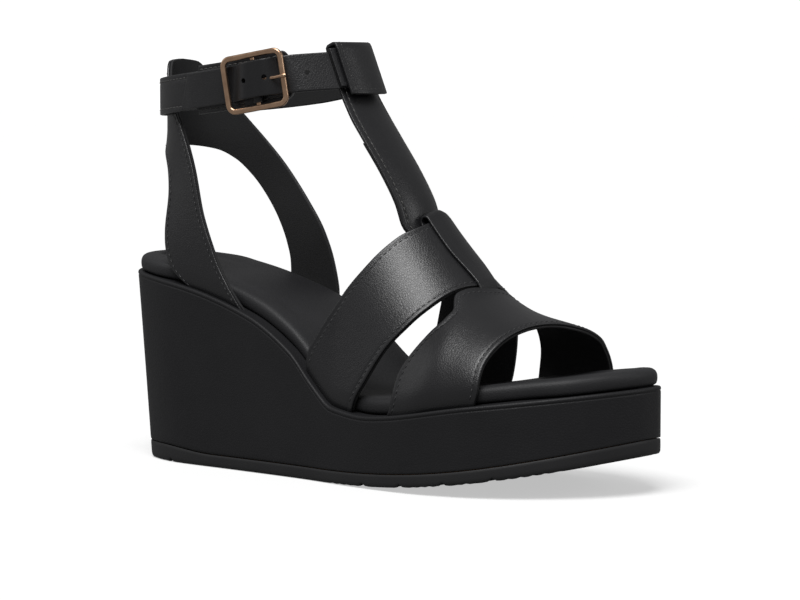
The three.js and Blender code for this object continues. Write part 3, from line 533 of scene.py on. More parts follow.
def make_footbed():
    ring, normal = edge_ring(stations(64))
    x = ring[:, 0]
    base = top_line(x) + GAP
    side = lerp(1.3, 5.0, pad_side(x))
    profile = ((1.6, 0), (0.6, 0.35), (0.15, 1.3), (0, 2.7), (0.05, 4.1), (0.5, 5.4), (1.5, 6.3), (3.0, 6.75),
               (5.4, 6.8), (8.2, 6.7))
    rows = ring_rows(ring, normal, [side + inset for inset, _ in profile], [base + z for _, z in profile])

    def flat(bars, share):
        return np.stack([bars[..., 0], bars[..., 1], top_line(bars[..., 0]) + GAP], -1)

    def top(bars, share):
        x, y = bars[..., 0], bars[..., 1]
        edge = np.minimum(share, 1 - share) * 2
        return np.stack([x, y, top_line(x) + GAP + lerp(PAD_HEIGHT - 0.2, pad_surface(x, y), smooth(3 * edge))], -1)

    points, faces, tips = capped(rows, (12, flat), (12, top))
    return new_piece("footbed_cushion", points, faces, footbed_leather, body=None, extra=tips, sharp=180)


def puffed(pad):
    """Cloth under a little pressure: the leather swells off the foam between its rolled edge and the board, and no
    point may move more than 0.9 mm. Points within 0.5 mm of the underside are pinned."""
    scene, mesh = bpy.context.scene, pad.data
    rest = np.empty(len(mesh.vertices) * 3)
    mesh.vertices.foreach_get("co", rest)
    rest = rest.reshape(-1, 3)
    local = rest * 1000 - np.array(LAST_TO_FRAME)
    glued = pad.vertex_groups.new(name="glued")
    glued.add(np.nonzero(local[:, 2] - top_line(local[:, 0]) < GAP + 0.5)[0].tolist(), 1.0, "REPLACE")
    cloth = pad.modifiers.new("swell", "CLOTH")
    cloth.settings.use_pressure, cloth.settings.uniform_pressure_force = True, 4.0
    cloth.settings.effector_weights.gravity = 0
    cloth.settings.vertex_group_mass = "glued"
    cloth.settings.quality = 6
    for number in range(1, 21):
        scene.frame_set(number)
    swollen = pad.evaluated_get(bpy.context.evaluated_depsgraph_get()).to_mesh()
    moved = np.empty(len(swollen.vertices) * 3)
    swollen.vertices.foreach_get("co", moved)
    shift = moved.reshape(-1, 3) - rest
    length = np.linalg.norm(shift, axis=1)[:, None]
    shift *= np.minimum(1, 0.0009 / np.maximum(length, 1e-9))
    pad.modifiers.remove(cloth)
    scene.frame_set(1)
    mesh.vertices.foreach_set("co", (rest + shift).ravel())
    mesh.update()


HEEL_SEAM = ((76, 5), (64, 10.9), (50.5, 14.2), (37.4, 15.7), (28, 14.7), (21, 11.5), (15.5, 6), (13.8, 0),
             (15.5, -7), (21, -12.5), (28, -16), (37.4, -17.5), (50, -16.8), (58, -14))
WAIST_SEAM = ((56, -29), (65.8, -28.5), (74, -28), (80.3, -27), (86.1, -24.8), (91.2, -20.6), (101, -11.7),
              (109, -2), (114, 9), (116, 22))


def rounded_path(points, count=400):
    """A smooth line through the points: cubic pieces in the square root of the chord, resampled evenly."""
    p = np.array(points, float)
    t = np.r_[0, np.cumsum(np.linalg.norm(np.diff(p, axis=0), axis=1) ** 0.5)]
    slope = np.gradient(p, t, axis=0)
    at = np.linspace(0, t[-1], 6 * count)
    i = np.clip(np.searchsorted(t, at, side="right") - 1, 0, len(p) - 2)
    w = (t[i + 1] - t[i])[:, None]
    u = ((at - t[i]) / w[:, 0])[:, None]
    line = ((1 + 2 * u) * (1 - u) ** 2 * p[i] + u * (1 - u) ** 2 * w * slope[i]
            + u * u * (3 - 2 * u) * p[i + 1] + u * u * (u - 1) * w * slope[i + 1])
    run = np.r_[0, np.cumsum(np.linalg.norm(np.diff(line, axis=0), axis=1))]
    even = np.linspace(0, run[-1], count)
    return np.stack([np.interp(even, run, c) for c in line.T], -1)


def finished_footbed():
    """The cushion puffed, rounded by subdivision, and its upper side pressed 0.45 mm down along each seam."""
    pad = make_footbed()
    puffed(pad)
    round_off = pad.modifiers.new("round", "SUBSURF")
    round_off.levels = round_off.render_levels = 3
    mesh = bpy.data.meshes.new_from_object(pad.evaluated_get(bpy.context.evaluated_depsgraph_get()))
    pad.modifiers.remove(round_off)
    pad.vertex_groups.clear()
    pad.data = mesh
    mesh.name = "footbed_cushion"
    place = np.empty(len(mesh.vertices) * 3)
    mesh.vertices.foreach_get("co", place)
    place = place.reshape(-1, 3)
    local = place * 1000 - np.array(LAST_TO_FRAME)
    upper = local[:, 2] > top_line(local[:, 0]) + 4
    for seam in (HEEL_SEAM, WAIST_SEAM):
        line = rounded_path(seam, 220)
        away = np.full(len(local), 99.0)
        for start in range(0, len(line), 20):
            gap = np.linalg.norm(local[:, None, :2] - line[None, start:start + 20], axis=2)
            away = np.minimum(away, gap.min(1))
        groove = 0.00045 * np.exp(-(away / 0.62) ** 2) - 0.00012 * np.exp(-((away - 1.7) / 1.0) ** 2)
        place[:, 2] -= np.where(upper, groove, 0)
    mesh.vertices.foreach_set("co", place.ravel())
    mesh.polygons.foreach_set("use_smooth", np.ones(len(mesh.polygons), bool))
    mesh.update()
    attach(pad, "root")
    return pad


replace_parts(finished_footbed(), "footbed_foam", "footbed_cover")

# ---- vamp bands ----
# Two bands of smooth lined leather over the forefoot, each edge-stitched, their feet tucked in beside the footbed.
# The toe band is cut back at the toe in a wide arch.
RIM, LEATHER, LINING = 0.8, 1.2, 1.0
OUTER_NEAR = LINING + 0.05
OUTER_FAR = OUTER_NEAR + LEATHER
WALL_INSET = RIM + LEATHER + GAP + LINING
instep_line = through((110, 157), (125, 136.5), (140, 116.3), (150, 103.4), (157, 95.2), (163, 88.8), (173, 79.2),
                      (180, 73.6), (195, 67.5), (210, 64.3), (225, 61))
arch_power = through((110, 1.49), (145, 1.62), (165, 1.6), (182, 0.98), (205, 0.95), (225, 0.95))
CROWN_SHIFT = 4.5
FOOT_DROP = 0.3


def crown_shift(x):
    """How far the instep's ridge lies to the inner side at x: less towards the toes."""
    return CROWN_SHIFT * (1 - smooth((x - 165) / 25))


def arch_point(x, degrees):
    """A point of the bands' inner face: across is the half-width times the sine of the angle, moved with the ridge by
    the fourth power of its cosine, and the rise is that of the instep times a power of the cosine. The lowest 9 mm
    draws in, and the foot goes down past the edge."""
    phi = np.radians(degrees)
    side = np.sign(degrees)
    base = top_line(x) - FOOT_DROP
    half = half_width(x, side) - WALL_INSET
    z = base + (instep_line(x) - base) * np.clip(np.cos(phi), 1e-9, None) ** arch_power(x)
    tuck = 2.0 * np.clip(1 - (z - base) / 9, 0, 1) ** 2
    y = half * np.sin(phi) + crown_shift(x) * np.cos(phi) ** 4 - side * tuck * np.abs(np.sin(phi))
    return np.stack([x, y, z], -1)


def spaced(length, cell, ends=(0, 0.1, 0.3, 0.6, 1.0, 1.5, 1.9, 2.2, 2.5, 3.0)):
    """Shares of a length, in even cells of about the size given and closer ones over the first few millimetres of
    each end."""
    ends = np.array([e for e in ends if e < 0.4 * length])
    middle = np.linspace(ends[-1], length - ends[-1], max(3, int((length - 2 * ends[-1]) / cell) + 1))[1:-1]
    return np.r_[ends, middle, (length - ends)[::-1]] / length


def normals_of(grid):
    """Unit normals of a grid of points, from its differences along rows and columns."""
    normal = np.cross(np.gradient(grid, axis=0), np.gradient(grid, axis=1))
    return normal / np.maximum(np.linalg.norm(normal, axis=-1), 1e-12)[..., None]


def run_along(grid, axis):
    """Distance travelled along the grid's lines from their first point."""
    step = np.linalg.norm(np.diff(grid, axis=axis), axis=-1)
    lead = np.zeros_like(np.take(step, [0], axis))
    return np.concatenate([lead, np.cumsum(step, axis)], axis)


def edge_distance(grid):
    """Distance of each grid point from the nearest of the sheet's four edges, along the grid's lines."""
    along, across = run_along(grid, 0), run_along(grid, 1)
    return np.minimum(np.minimum(along, along[-1:] - along), np.minimum(across, across[:, -1:] - across))


STITCH_MARGIN, STITCH_DIP = 2.2, 0.14


def shell_quads(index):
    """Faces of a sheet whose two sides are grids of points: both sides, and the strips that join their four edges."""
    quads = []
    for face, turn in ((index[0], -1), (index[1], 1)):
        quad = np.stack([face[:-1, :-1], face[1:, :-1], face[1:, 1:], face[:-1, 1:]], -1).reshape(-1, 4)
        quads.append(quad[:, ::turn])
    for a, b, turn in ((index[0][0], index[1][0], -1), (index[0][-1], index[1][-1], 1),
                       (index[0][:, 0], index[1][:, 0], 1), (index[0][:, -1], index[1][:, -1], -1)):
        quads.append(np.stack([a[:-1], a[1:], b[1:], b[:-1]], -1)[:, ::turn])
    return np.concatenate(quads)


def sheet_piece(name, surface, us, vs, near, far, finish, body="root", rounding=0.45, stitched=STITCH_MARGIN):
    """A sheet of leather between two distances from a surface: its faces fall to the edge by r - sqrt(r^2 -
    (r - d)^2), with r the rounding and d the distance to the edge, and dip along the row of stitches."""
    grid = surface(*np.meshgrid(us, vs, indexing="ij"))
    normal = normals_of(grid)
    d = edge_distance(grid)
    fall = rounding - np.sqrt(np.clip(rounding ** 2 - np.clip(rounding - d, 0, None) ** 2, 0, None))
    dip = STITCH_DIP * np.exp(-((d - stitched) / 0.42) ** 2) if stitched else 0
    outer = far - fall - dip
    thin = min(rounding, 0.45 * (far - near))
    inner = near + fall * thin / rounding
    points = np.stack([grid + normal * inner[..., None], grid + normal * outer[..., None]])
    quads = shell_quads(np.arange(points.size // 3).reshape(points.shape[:3]))
    return new_piece(name, points, quads, finish, body=body, sharp=75)


def stitches(name, lines, finish, pitch=2.7, long=2.1, radius=0.24, body="root"):
    """Rows of thread: along each (points, normals) line, a stitch every pitch, each a short six-sided tube that lies
    level over its middle and whose ends dive into the leather by the 1.5th power of the distance past it."""
    shapes, faces, count = [], [], 0
    s = np.array([-1, -0.86, -0.4, 0.4, 0.86, 1.0])
    turn = np.linspace(0, 2 * math.pi, 7)[:-1]
    for points, normals in lines:
        run = np.r_[0, np.cumsum(np.linalg.norm(np.diff(points, axis=0), axis=1))]
        number = max(1, int(run[-1] / pitch))
        middle = (np.arange(number) + 0.5) * run[-1] / number
        at = middle[:, None] + s * long / 2
        where = np.stack([np.interp(at, run, c) for c in points.T], -1)
        up = np.stack([np.interp(at, run, c) for c in normals.T], -1)
        up /= np.linalg.norm(up, axis=-1)[..., None]
        ahead = np.gradient(where, axis=1)
        across = np.cross(ahead, up)
        across /= np.linalg.norm(across, axis=-1)[..., None]
        size = radius * np.array([0.5, 0.85, 1, 1, 0.85, 0.5])
        lift = radius * (0.55 - 1.5 * np.clip(np.abs(s) - 0.4, 0, None) ** 1.5 * 2)
        centre = where + up * lift[:, None]
        tube = (centre[:, :, None] + across[:, :, None] * (np.cos(turn)[:, None] * size[:, None, None])
                + up[:, :, None] * (np.sin(turn)[:, None] * 0.8 * size[:, None, None]))
        index = count + np.arange(number * 36).reshape(number, 6, 6)
        nxt = np.roll(index, -1, 2)
        faces.append(np.stack([index[:, :-1], nxt[:, :-1], nxt[:, 1:], index[:, 1:]], -1).reshape(-1, 4))
        for end, order in ((index[:, 0], (0, 1, 2, 3)), (index[:, -1], (3, 2, 1, 0))):
            faces.append(end[:, list(order)])
            faces.append(end[:, [(o + 3) % 6 for o in order]])
        shapes.append(tube.reshape(-1, 3))
        count += number * 36
    return new_piece(name, np.concatenate(shapes), np.concatenate(faces), finish, body=body, sharp=180)


def row_on(surface, us, vs, height):
    """A line on a surface at those parameters, lifted by height along the surface's normal, with its normals."""
    us, vs = np.broadcast_arrays(np.asarray(us, float), np.asarray(vs, float))
    e = 1e-3
    lean = surface(np.clip(us + e, 0, 1), vs) - surface(np.clip(us - e, 0, 1), vs)
    turn = surface(us, np.clip(vs + e, 0, 1)) - surface(us, np.clip(vs - e, 0, 1))
    normal = np.cross(lean, turn)
    normal /= np.linalg.norm(normal, axis=-1)[..., None]
    return surface(us, vs) + normal * height, normal


def even_in(surface, u, count=400):
    """Values of v at which the surface's line at u is cut into equal lengths."""
    v = np.linspace(0, 1, 2001)
    run = run_along(surface(np.full_like(v, u), v), 0)
    return np.interp(np.linspace(0, run[-1], count), run, v)


upper_leather = leather_finish("upper_leather", (0.0075, 0.0075, 0.0085), (0.0125, 0.0125, 0.014), 0.0009, 0.26, 0.34,
                               0.45, 0.5)
upper_lining = leather_finish("upper_lining", (0.016, 0.016, 0.0165), (0.027, 0.027, 0.028), 0.0007, 0.4, 0.72, 0.4,
                              0.25)


def thread_finish(name, tone):
    """Waxed thread: a twist of fine bands at a slant along its length."""
    material, s = new_finish(name)
    twist = s.node("TexWave", {"Vector": s.node("TexCoord", out=3), "Scale": 900.0, "Distortion": 1.0}, out=1,
                   bands_direction="DIAGONAL")
    dark = tuple(0.55 * c for c in tone)
    colour = s.tones(twist, dark, tone)
    bump = s.node("Bump", {"Height": twist, "Strength": 0.3, "Distance": 0.0001})
    shader = s.node("BsdfPrincipled", {"Base Color": colour, "Roughness": 0.42 + 0.1 * twist, "Normal": bump})
    s.surface(shader)
    return material


black_thread = thread_finish("black_thread", (0.022, 0.022, 0.024))
# This is the black thread painted lighter grey, a painted highlight for the light its stitches catch on the T-strap,
# ankle strap, backing tab and strap end.
highlight_painted_thread = thread_finish("highlight_painted_thread", (0.085, 0.083, 0.08))

vamp_rear = through((-90, 114), (-80, 114.4), (-68, 119.8), (-55, 127.6), (-41, 136.6), (-27, 143.4), (-12, 148.4),
                    (0, 149.6), (12, 149.2), (27, 146.6), (41, 141), (55, 135), (68, 130), (80, 126.5), (90, 126))
vamp_front = through((-90, 139.5), (-80, 142), (-70, 147), (-58, 153.3), (-45, 161), (-28, 168.2), (-12, 172.4),
                     (0, 174.6), (12, 174.8), (28, 173.5), (45, 171.5), (70, 165), (90, 159))
toe_rear = through((-90, 158.5), (-77, 162), (-65, 162.9), (-58, 165), (-45, 172.2), (-38, 175), (-31, 175.6),
                   (-26, 173.2), (-22, 171.4), (-18, 172), (-12, 173.2), (0, 175.4), (12, 175.6), (20, 175.6),
                   (28, 178.4), (35, 181.4), (45, 181), (60, 179.5), (77, 176), (90, 174))
toe_front = through((-90, 199), (-78, 201), (-65, 200.9), (-42, 202.6), (-20, 205.8), (-7, 208.4), (5, 210.8),
                    (21, 215), (40, 215.3), (56, 213.6), (90, 212))


def band(rear, front):
    """The surface of a band across the foot: u from its rear edge to its front, v from the outer foot to the inner."""

    def surface(u, v):
        degrees = lerp(-90.0, 90.0, v)
        return arch_point(lerp(rear(degrees), front(degrees), u), degrees)

    return surface


def hem_rows(surface, fine, margin=STITCH_MARGIN):
    """The two rows of stitches along a strip whose v runs its length: margin in from either edge, at each v given."""
    width = np.linalg.norm(surface(np.ones_like(fine), fine) - surface(np.zeros_like(fine), fine), axis=1)
    return [row_on(surface, share, fine, OUTER_FAR - STITCH_DIP) for share in (margin / width, 1 - margin / width)]


def make_band(name, surface, lining_name, nodes):
    """A lining and a leather over it, 27 mm wide or so, and a row of stitches along each long edge."""
    us, vs = spaced(27, 1.5), even_in(surface, 0.5, 96)
    backing = sheet_piece(lining_name, surface, us, vs, 0, LINING, upper_lining, stitched=None, rounding=0.3)
    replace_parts(backing, nodes[0])
    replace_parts(sheet_piece(name, surface, us, vs, OUTER_NEAR, OUTER_FAR, upper_leather), nodes[1])
    stitches(name + "_stitching", hem_rows(surface, even_in(surface, 0.5, 500)[16:-16]), black_thread)


vamp_surface, toe_surface = band(vamp_rear, vamp_front), band(toe_rear, toe_front)
make_band("rear_band", vamp_surface, "rear_band_backing", ("vamp_band_lining", "vamp_band"))
make_band("front_band", toe_surface, "front_band_backing", ("toe_band_lining", "toe_band"))

# ---- centre loop ----
# A narrow leather tab: it comes out from under the toe band, runs back over the rear band, folds round that band's
# rear edge and is sewn down inside.
LOOP_WIDTH, LOOP_FRONT_WIDTH, LOOP_LEATHER = 16.6, 12.0, 1.0


def arch_fall(x, y):
    """How far the arch at x has fallen at y across, from its crown. The sine of its angle, which the ridge's shift
    depends on, settles over five rounds."""
    half, shift = half_width(x, y) - WALL_INSET, crown_shift(x)
    sine = (y - shift) / half
    for _ in range(5):
        sine = (y - shift * (1 - sine ** 2) ** 2) / half
    return (instep_line(x) - top_line(x) + FOOT_DROP) * (1 - np.clip(1 - sine ** 2, 0, 1) ** (arch_power(x) / 2))


def loop_spine():
    """The tab's middle line in the plane y = 0: from under the toe band along the rear band's outer face, round its
    edge in a half circle, and back inside."""
    outside, inside = OUTER_FAR + 0.3 + LOOP_LEATHER / 2, -0.4 - LOOP_LEATHER / 2
    front, back = float(toe_rear(0)), float(vamp_rear(-12)) - 0.7

    def beside(x, offset):
        rise = instep_line(x + 0.5) - instep_line(x - 0.5)
        length = np.hypot(1, rise)
        return np.array([x - offset * rise / length, instep_line(x) + offset / length])

    over = [beside(front - x, outside - drop) for x, drop in ((-0.3, 2.4), (0.9, 1.0), (2.4, 0.15))]
    over += [beside(lerp(front - 4.2, back, i / 8), outside) for i in range(9)]
    middle, radius = beside(back, (outside + inside) / 2), (outside - inside) / 2
    start = (over[-1] - middle) / np.linalg.norm(over[-1] - middle)
    forward = np.array([-start[1], start[0]])
    fold = [middle + radius * (start * math.cos(a) + forward * math.sin(a)) for a in np.linspace(0, math.pi, 9)[1:-1]]
    inner = [beside(back + 11 * i / 4, inside) for i in range(5)]
    return rounded_path([*over, *fold, *inner], 400)


def make_loop():
    spine = loop_spine()

    def surface(u, v):
        x, z = (np.interp(u, np.linspace(0, 1, len(spine)), c) for c in spine.T)
        y = crown_shift(x) + (0.5 - v) * lerp(LOOP_FRONT_WIDTH, LOOP_WIDTH, smooth(u / 0.4))
        return np.stack([x, y, z - arch_fall(x, y)], -1)

    piece = sheet_piece("centre_tab", surface, spaced(62, 0.9), spaced(LOOP_WIDTH, 1.2), -LOOP_LEATHER / 2,
                        LOOP_LEATHER / 2, upper_leather, rounding=0.4, stitched=None)
    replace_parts(piece, "centre_loop")


make_loop()

# ---- T-strap ----
# Lined leather up the instep. It comes from under the rear band, widens, goes up behind the ankle strap, folds over
# its top edge and down its front; two rows of stitches run its length and one crosses the end of the fold.
ANKLE_BACK, ANKLE_MIDDLE, ANKLE_FRONT, ANKLE_HALF_WIDTH, ANKLE_ROUNDNESS = 15.0, 65.5, 108.8, 26.0, 0.85
REAR_HALF, FRONT_HALF = ANKLE_MIDDLE - ANKLE_BACK, ANKLE_FRONT - ANKLE_MIDDLE
STRAP_LEAN = 0.42
STRAP_WIDTH, STRAP_NEAR, STRAP_FAR, STRAP_MIDDLE = 15.8, 2.8, 5.3, 73.6
T_THICKNESS, T_LINING, T_LINED, T_UNDER_BAND = 2.5, 0.95, 0.44, 6.6
T_ROOT_WIDTH, T_WIDTH, T_FOLD_WIDTH = 15.0, 25.4, 23.6
strap_rise = through((15, 0), (66, 5.3), (98, 10.4), (110, 11.7))


def strap_centre(x):
    """Height of the ankle strap's middle, rising from the tendon to the instep."""
    return HEEL_HEIGHT + STRAP_MIDDLE + strap_rise(x)


def ring_fall(y, offset):
    """How far the ankle's outline falls back from its front at y."""
    share = np.minimum(0.95, np.abs(y) / (ANKLE_HALF_WIDTH + offset))
    return (FRONT_HALF + offset) * (1 - np.sqrt(1 - share ** (2 / ANKLE_ROUNDNESS)))


def t_path():
    """The strap's middle line in the plane y = 0, from under the rear band over the ankle strap to its own end."""
    middle = float(strap_centre(ANKLE_FRONT))
    top, bottom = middle + STRAP_WIDTH / 2, middle - STRAP_WIDTH / 2
    tilt = math.atan(STRAP_LEAN)
    away = np.array([math.cos(tilt), math.sin(tilt)])
    inner, outer = STRAP_NEAR - 0.4 - T_THICKNESS / 2, STRAP_FAR + 0.35 + T_THICKNESS / 2

    def beside(z, offset):
        """A point at height z of the leaning ankle's front, moved out by offset."""
        return np.array([ANKLE_FRONT - STRAP_LEAN * (z - middle), z]) + offset * away

    points = [(x, float(instep_line(x)) - T_UNDER_BAND) for x in (157, 152.5, 149, 146)]
    points += [(144.7, 104.2), (142, 112.4), (135.3, 124.8), (126.2, 138.4), (119.8, 147.6)]
    points += [beside(z, inner) for z in (bottom - 2, middle, top - 0.4)]
    turn, angles = T_THICKNESS / 2 + 0.4, np.radians((22.5, 45, 67.5))
    points += [beside(top + turn * math.sin(a), inner + turn * (1 - math.cos(a))) for a in angles]
    points += [beside(top + turn, (inner + outer) / 2)]
    points += [beside(top + turn * math.sin(a), outer - turn * (1 - math.cos(a))) for a in angles[::-1]]
    points += [beside(z, outer) for z in (top - 0.4, middle, bottom - 4.2)]
    return rounded_path(points, 800)


t_line = t_path()


def t_width(share):
    """Width along the strap: narrow where it is sewn under the band, wide up the instep, less round the fold."""
    return lerp(lerp(T_ROOT_WIDTH, T_WIDTH, smooth(share / 0.15)), T_FOLD_WIDTH, smooth((share - 0.5) / 0.15))


def t_surface(start, end):
    """The strap's middle surface between two shares of its path: its edges fall back round the ankle, and its ridge
    moves to the inner side towards the toes."""

    def surface(u, v):
        share = lerp(start, end, u)
        x, z = (np.interp(share, np.linspace(0, 1, len(t_line)), c) for c in t_line.T)
        y = (0.5 - v) * t_width(share)
        ridge = 0.8 * CROWN_SHIFT * (1 - smooth(share / 0.55))
        return np.stack([x - ring_fall(y, STRAP_NEAR), y + ridge, z], -1)

    return surface


def make_t_strap():
    length = run_along(t_line, 0)[-1]
    whole = t_surface(0, 1)
    strap = sheet_piece("t_strap_leather", whole, spaced(length, 1.5), spaced(26, 1.2), -T_THICKNESS / 2 + 1.0,
                        T_THICKNESS / 2, upper_leather)
    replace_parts(strap, "t_strap")
    lining = sheet_piece("t_strap_backing", t_surface(0, T_LINED), spaced(T_LINED * length, 2), spaced(25, 2),
                         -T_THICKNESS / 2, -T_THICKNESS / 2 + T_LINING, upper_lining, stitched=None,
                         rounding=0.3)
    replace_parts(lining, "t_strap_lining")
    crest = float(np.argmax(t_line[:, 1])) / (len(t_line) - 1)
    lines = []
    for run, height in ((np.linspace(0.03, crest, 600), T_THICKNESS / 2 - STITCH_DIP),
                        (np.linspace(crest, 1 - 2 / length, 300), STITCH_DIP - T_THICKNESS / 2 + 1.0)):
        across = STITCH_MARGIN / t_width(run)
        lines += [row_on(whole, run, across, height), row_on(whole, run, 1 - across, height)]
    lines.append(row_on(whole, np.full(200, 1 - 2 / length), np.linspace(0.1, 0.9, 200), height))
    stitches("t_strap_stitching", lines, highlight_painted_thread)


make_t_strap()

# ---- heel quarter ----
# A lined sling round the heel with an open back: two legs rise from the wedge to a rounded tab at the tendon. The
# ankle strap passes outside it.
HEEL_REACH = 60.0
QUARTER_TOP, QUARTER_UNDER = STRAP_MIDDLE + 17, STRAP_MIDDLE - 20.5


def ring_point(degrees):
    """The ankle's outline seen from above, 0 at the tendon and 180 at the instep, negative on the outer side: an
    ellipse whose y is squared off by a power of the sine."""
    theta = np.radians(degrees)
    x = ANKLE_MIDDLE - np.where(np.cos(theta) > 0, REAR_HALF, FRONT_HALF) * np.cos(theta)
    y = np.sign(np.sin(theta)) * ANKLE_HALF_WIDTH * np.abs(np.sin(theta)) ** ANKLE_ROUNDNESS
    return x, y


def quarter_base(degrees):
    return top_line(ANKLE_MIDDLE - HEEL_REACH * np.cos(np.radians(degrees))) - FOOT_DROP


def quarter_point(degrees, z, side):
    """The quarter's inner face: the ankle's outline above, eased to the platform's below, drawn in at its foot."""
    ring_x, ring_y = ring_point(degrees)
    x = ANKLE_MIDDLE - HEEL_REACH * np.cos(np.radians(degrees))
    base = quarter_base(degrees)
    tuck = 1.4 * np.clip(1 - (z - base) / 8, 0, 1) ** 2
    foot = np.maximum(2, half_width(np.maximum(8, x), side) - WALL_INSET) - tuck
    share = 1 - smooth((z - base) / (HEEL_HEIGHT + STRAP_MIDDLE - 12 - base))
    return np.stack([lerp(ring_x, x, share), side * lerp(np.abs(ring_y), foot, share), z], -1)


def quarter_edge(*knots):
    """One edge of a leg: its angle and height as functions of the share of the way from the foot to the tendon."""
    share = np.linspace(0, 1, len(knots))
    base = float(quarter_base(knots[0][0]))
    heights = [base if h is None else h for _, h in knots]
    return through(*zip(share, [a for a, _ in knots])), through(*zip(share, heights))


tops = ((14, HEEL_HEIGHT + QUARTER_TOP - 1), (0, HEEL_HEIGHT + QUARTER_TOP))
unders = ((13, HEEL_HEIGHT + QUARTER_UNDER - 0.5), (0, HEEL_HEIGHT + QUARTER_UNDER))
quarter_edges = {
    -1: (quarter_edge((100.5, None), (96, 72.5), (87.5, 84), (82, 93.5), (75, 106), (65.5, 125), (48.5, 146),
                      (30, 161), *tops),
         quarter_edge((71, None), (67, 77.5), (60, 82), (54.3, 89), (50.5, 99), (48, 112), (40, 124), (27, 130.5),
                      *unders)),
    1: (quarter_edge((104.5, None), (103.5, 74), (101, 86), (96, 98), (88, 109), (74, 125), (50, 146), (30, 161),
                     *tops),
        quarter_edge((79, None), (78.3, 84), (76, 92), (71, 102), (63, 112.5), (54, 121), (43, 128), (30, 132),
                     *unders)),
}


def quarter_surface(u, v):
    """u from the rear edge to the front one, v from the outer foot over the tendon to the inner foot."""
    place = np.zeros(np.broadcast(u, v).shape + (3,))
    for side in (-1, 1):
        share = np.where(side < 0, 2 * v, 2 - 2 * v)
        (front_angle, front_height), (rear_angle, rear_height) = quarter_edges[side]
        degrees = lerp(rear_angle(share), front_angle(share), u)
        straight = lerp(rear_height(0), front_height(0), u)
        seated = quarter_base(lerp(rear_angle(0), front_angle(0), u)) - straight
        z = lerp(rear_height(share), front_height(share), u) + seated * np.clip(1 - share / 0.2, 0, 1)
        mine = (v < 0.5) == (side < 0)
        place = np.where(mine[..., None], quarter_point(degrees, z, side), place)
    return place


def make_quarter():
    vs = even_in(quarter_surface, 0.5, 170)
    us = spaced(26, 1.5)
    lining = sheet_piece("quarter_backing", quarter_surface, us, vs, 0, LINING, upper_lining, stitched=None,
                         rounding=0.3)
    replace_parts(lining, "heel_quarter_lining")
    outer = sheet_piece("heel_sling", quarter_surface, us, vs, OUTER_NEAR, OUTER_FAR, upper_leather)
    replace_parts(outer, "heel_quarter")
    fine = even_in(quarter_surface, 0.5, 900)[14:-14]
    stitches("heel_sling_stitching", hem_rows(quarter_surface, fine), black_thread)


make_quarter()

# ---- ankle strap ----
# Lined leather round the ankle, stitched along both edges. The buckle's backing tab takes over from it on the
# outer side; its loose end starts beside the T-strap.
STRAP_START, STRAP_SPLIT, TAB_END, TAB_WIDTH = -72.0, 201.0, -133.0, STRAP_WIDTH + 4.6
STRAP_MARGIN, TAB_MARGIN = 2.0, 1.8


def leant(x, y, up):
    """A point of the strap up from its middle: towards the instep it leans back by 0.42 of its rise."""
    share = smooth((x - 84) / 17)
    return np.stack([x - STRAP_LEAN * share * up, y + 0 * up, strap_centre(x) + up], -1)


def ring_strip(start, end, reach):
    """A strip round the ankle between two angles: v goes from its upper edge to its lower one, reach(u) either way
    from the strap's middle."""

    def surface(u, v):
        x, y = ring_point(lerp(start, end, u))
        return leant(x, y, lerp(1.0, -1.0, v) * reach(u))

    return surface


def make_ankle_strap():
    surface = ring_strip(STRAP_START, STRAP_SPLIT, lambda u: STRAP_WIDTH / 2 + 0 * u)
    v0 = np.linspace(0, 1, 3001)
    run = run_along(surface(v0, 0.5 + 0 * v0), 0)
    us = np.interp(spaced(230, 1.7) * run[-1], run, v0)
    vs = spaced(STRAP_WIDTH, 1.3)
    lining = sheet_piece("ankle_strap_backing", surface, us, vs, STRAP_NEAR, STRAP_NEAR + LINING, upper_lining,
                         stitched=None, rounding=0.3)
    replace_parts(lining, "ankle_strap_lining")
    outer = sheet_piece("ankle_strap_leather", surface, us, vs, STRAP_NEAR + LINING + 0.05, STRAP_FAR, upper_leather)
    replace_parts(outer, "ankle_strap")
    even = np.interp(np.linspace(2, run[-1] - 2, 900), run, v0)
    share = STRAP_MARGIN / STRAP_WIDTH
    rows = [row_on(surface, even, v, STRAP_FAR - STITCH_DIP) for v in (share, 1 - share)]
    stitches("ankle_strap_stitching", rows, highlight_painted_thread)


make_ankle_strap()


def make_backing_tab():
    """The tab behind the buckle: its free end is rounded, its half-width falling as a circle over the last 14%."""

    def reach(u):
        return np.maximum(0.6, TAB_WIDTH / 2 * np.sqrt(np.clip(1 - np.clip((0.14 - u) / 0.14, 0, 1) ** 2.4, 0, 1)))

    surface = ring_strip(TAB_END, STRAP_START - 0.6, reach)
    us = np.r_[0, 0.0015, 0.004, 0.008, 0.014, 0.022, 0.032, 0.045, 0.06, 0.08, 0.1, np.linspace(0.12, 0.97, 34),
               0.98, 0.99, 1]
    tab = sheet_piece("buckle_backing_tab", surface, us, spaced(TAB_WIDTH, 1.3), STRAP_NEAR, STRAP_FAR, upper_leather,
                      stitched=TAB_MARGIN)
    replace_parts(tab, "backing_tab")
    even = np.linspace(0.09, 0.985, 300)
    share = TAB_MARGIN / (2 * reach(even))
    rows = [row_on(surface, even, v, STRAP_FAR - STITCH_DIP) for v in (share, 1 - share)]
    stitches("buckle_backing_stitching", rows, highlight_painted_thread)


make_backing_tab()

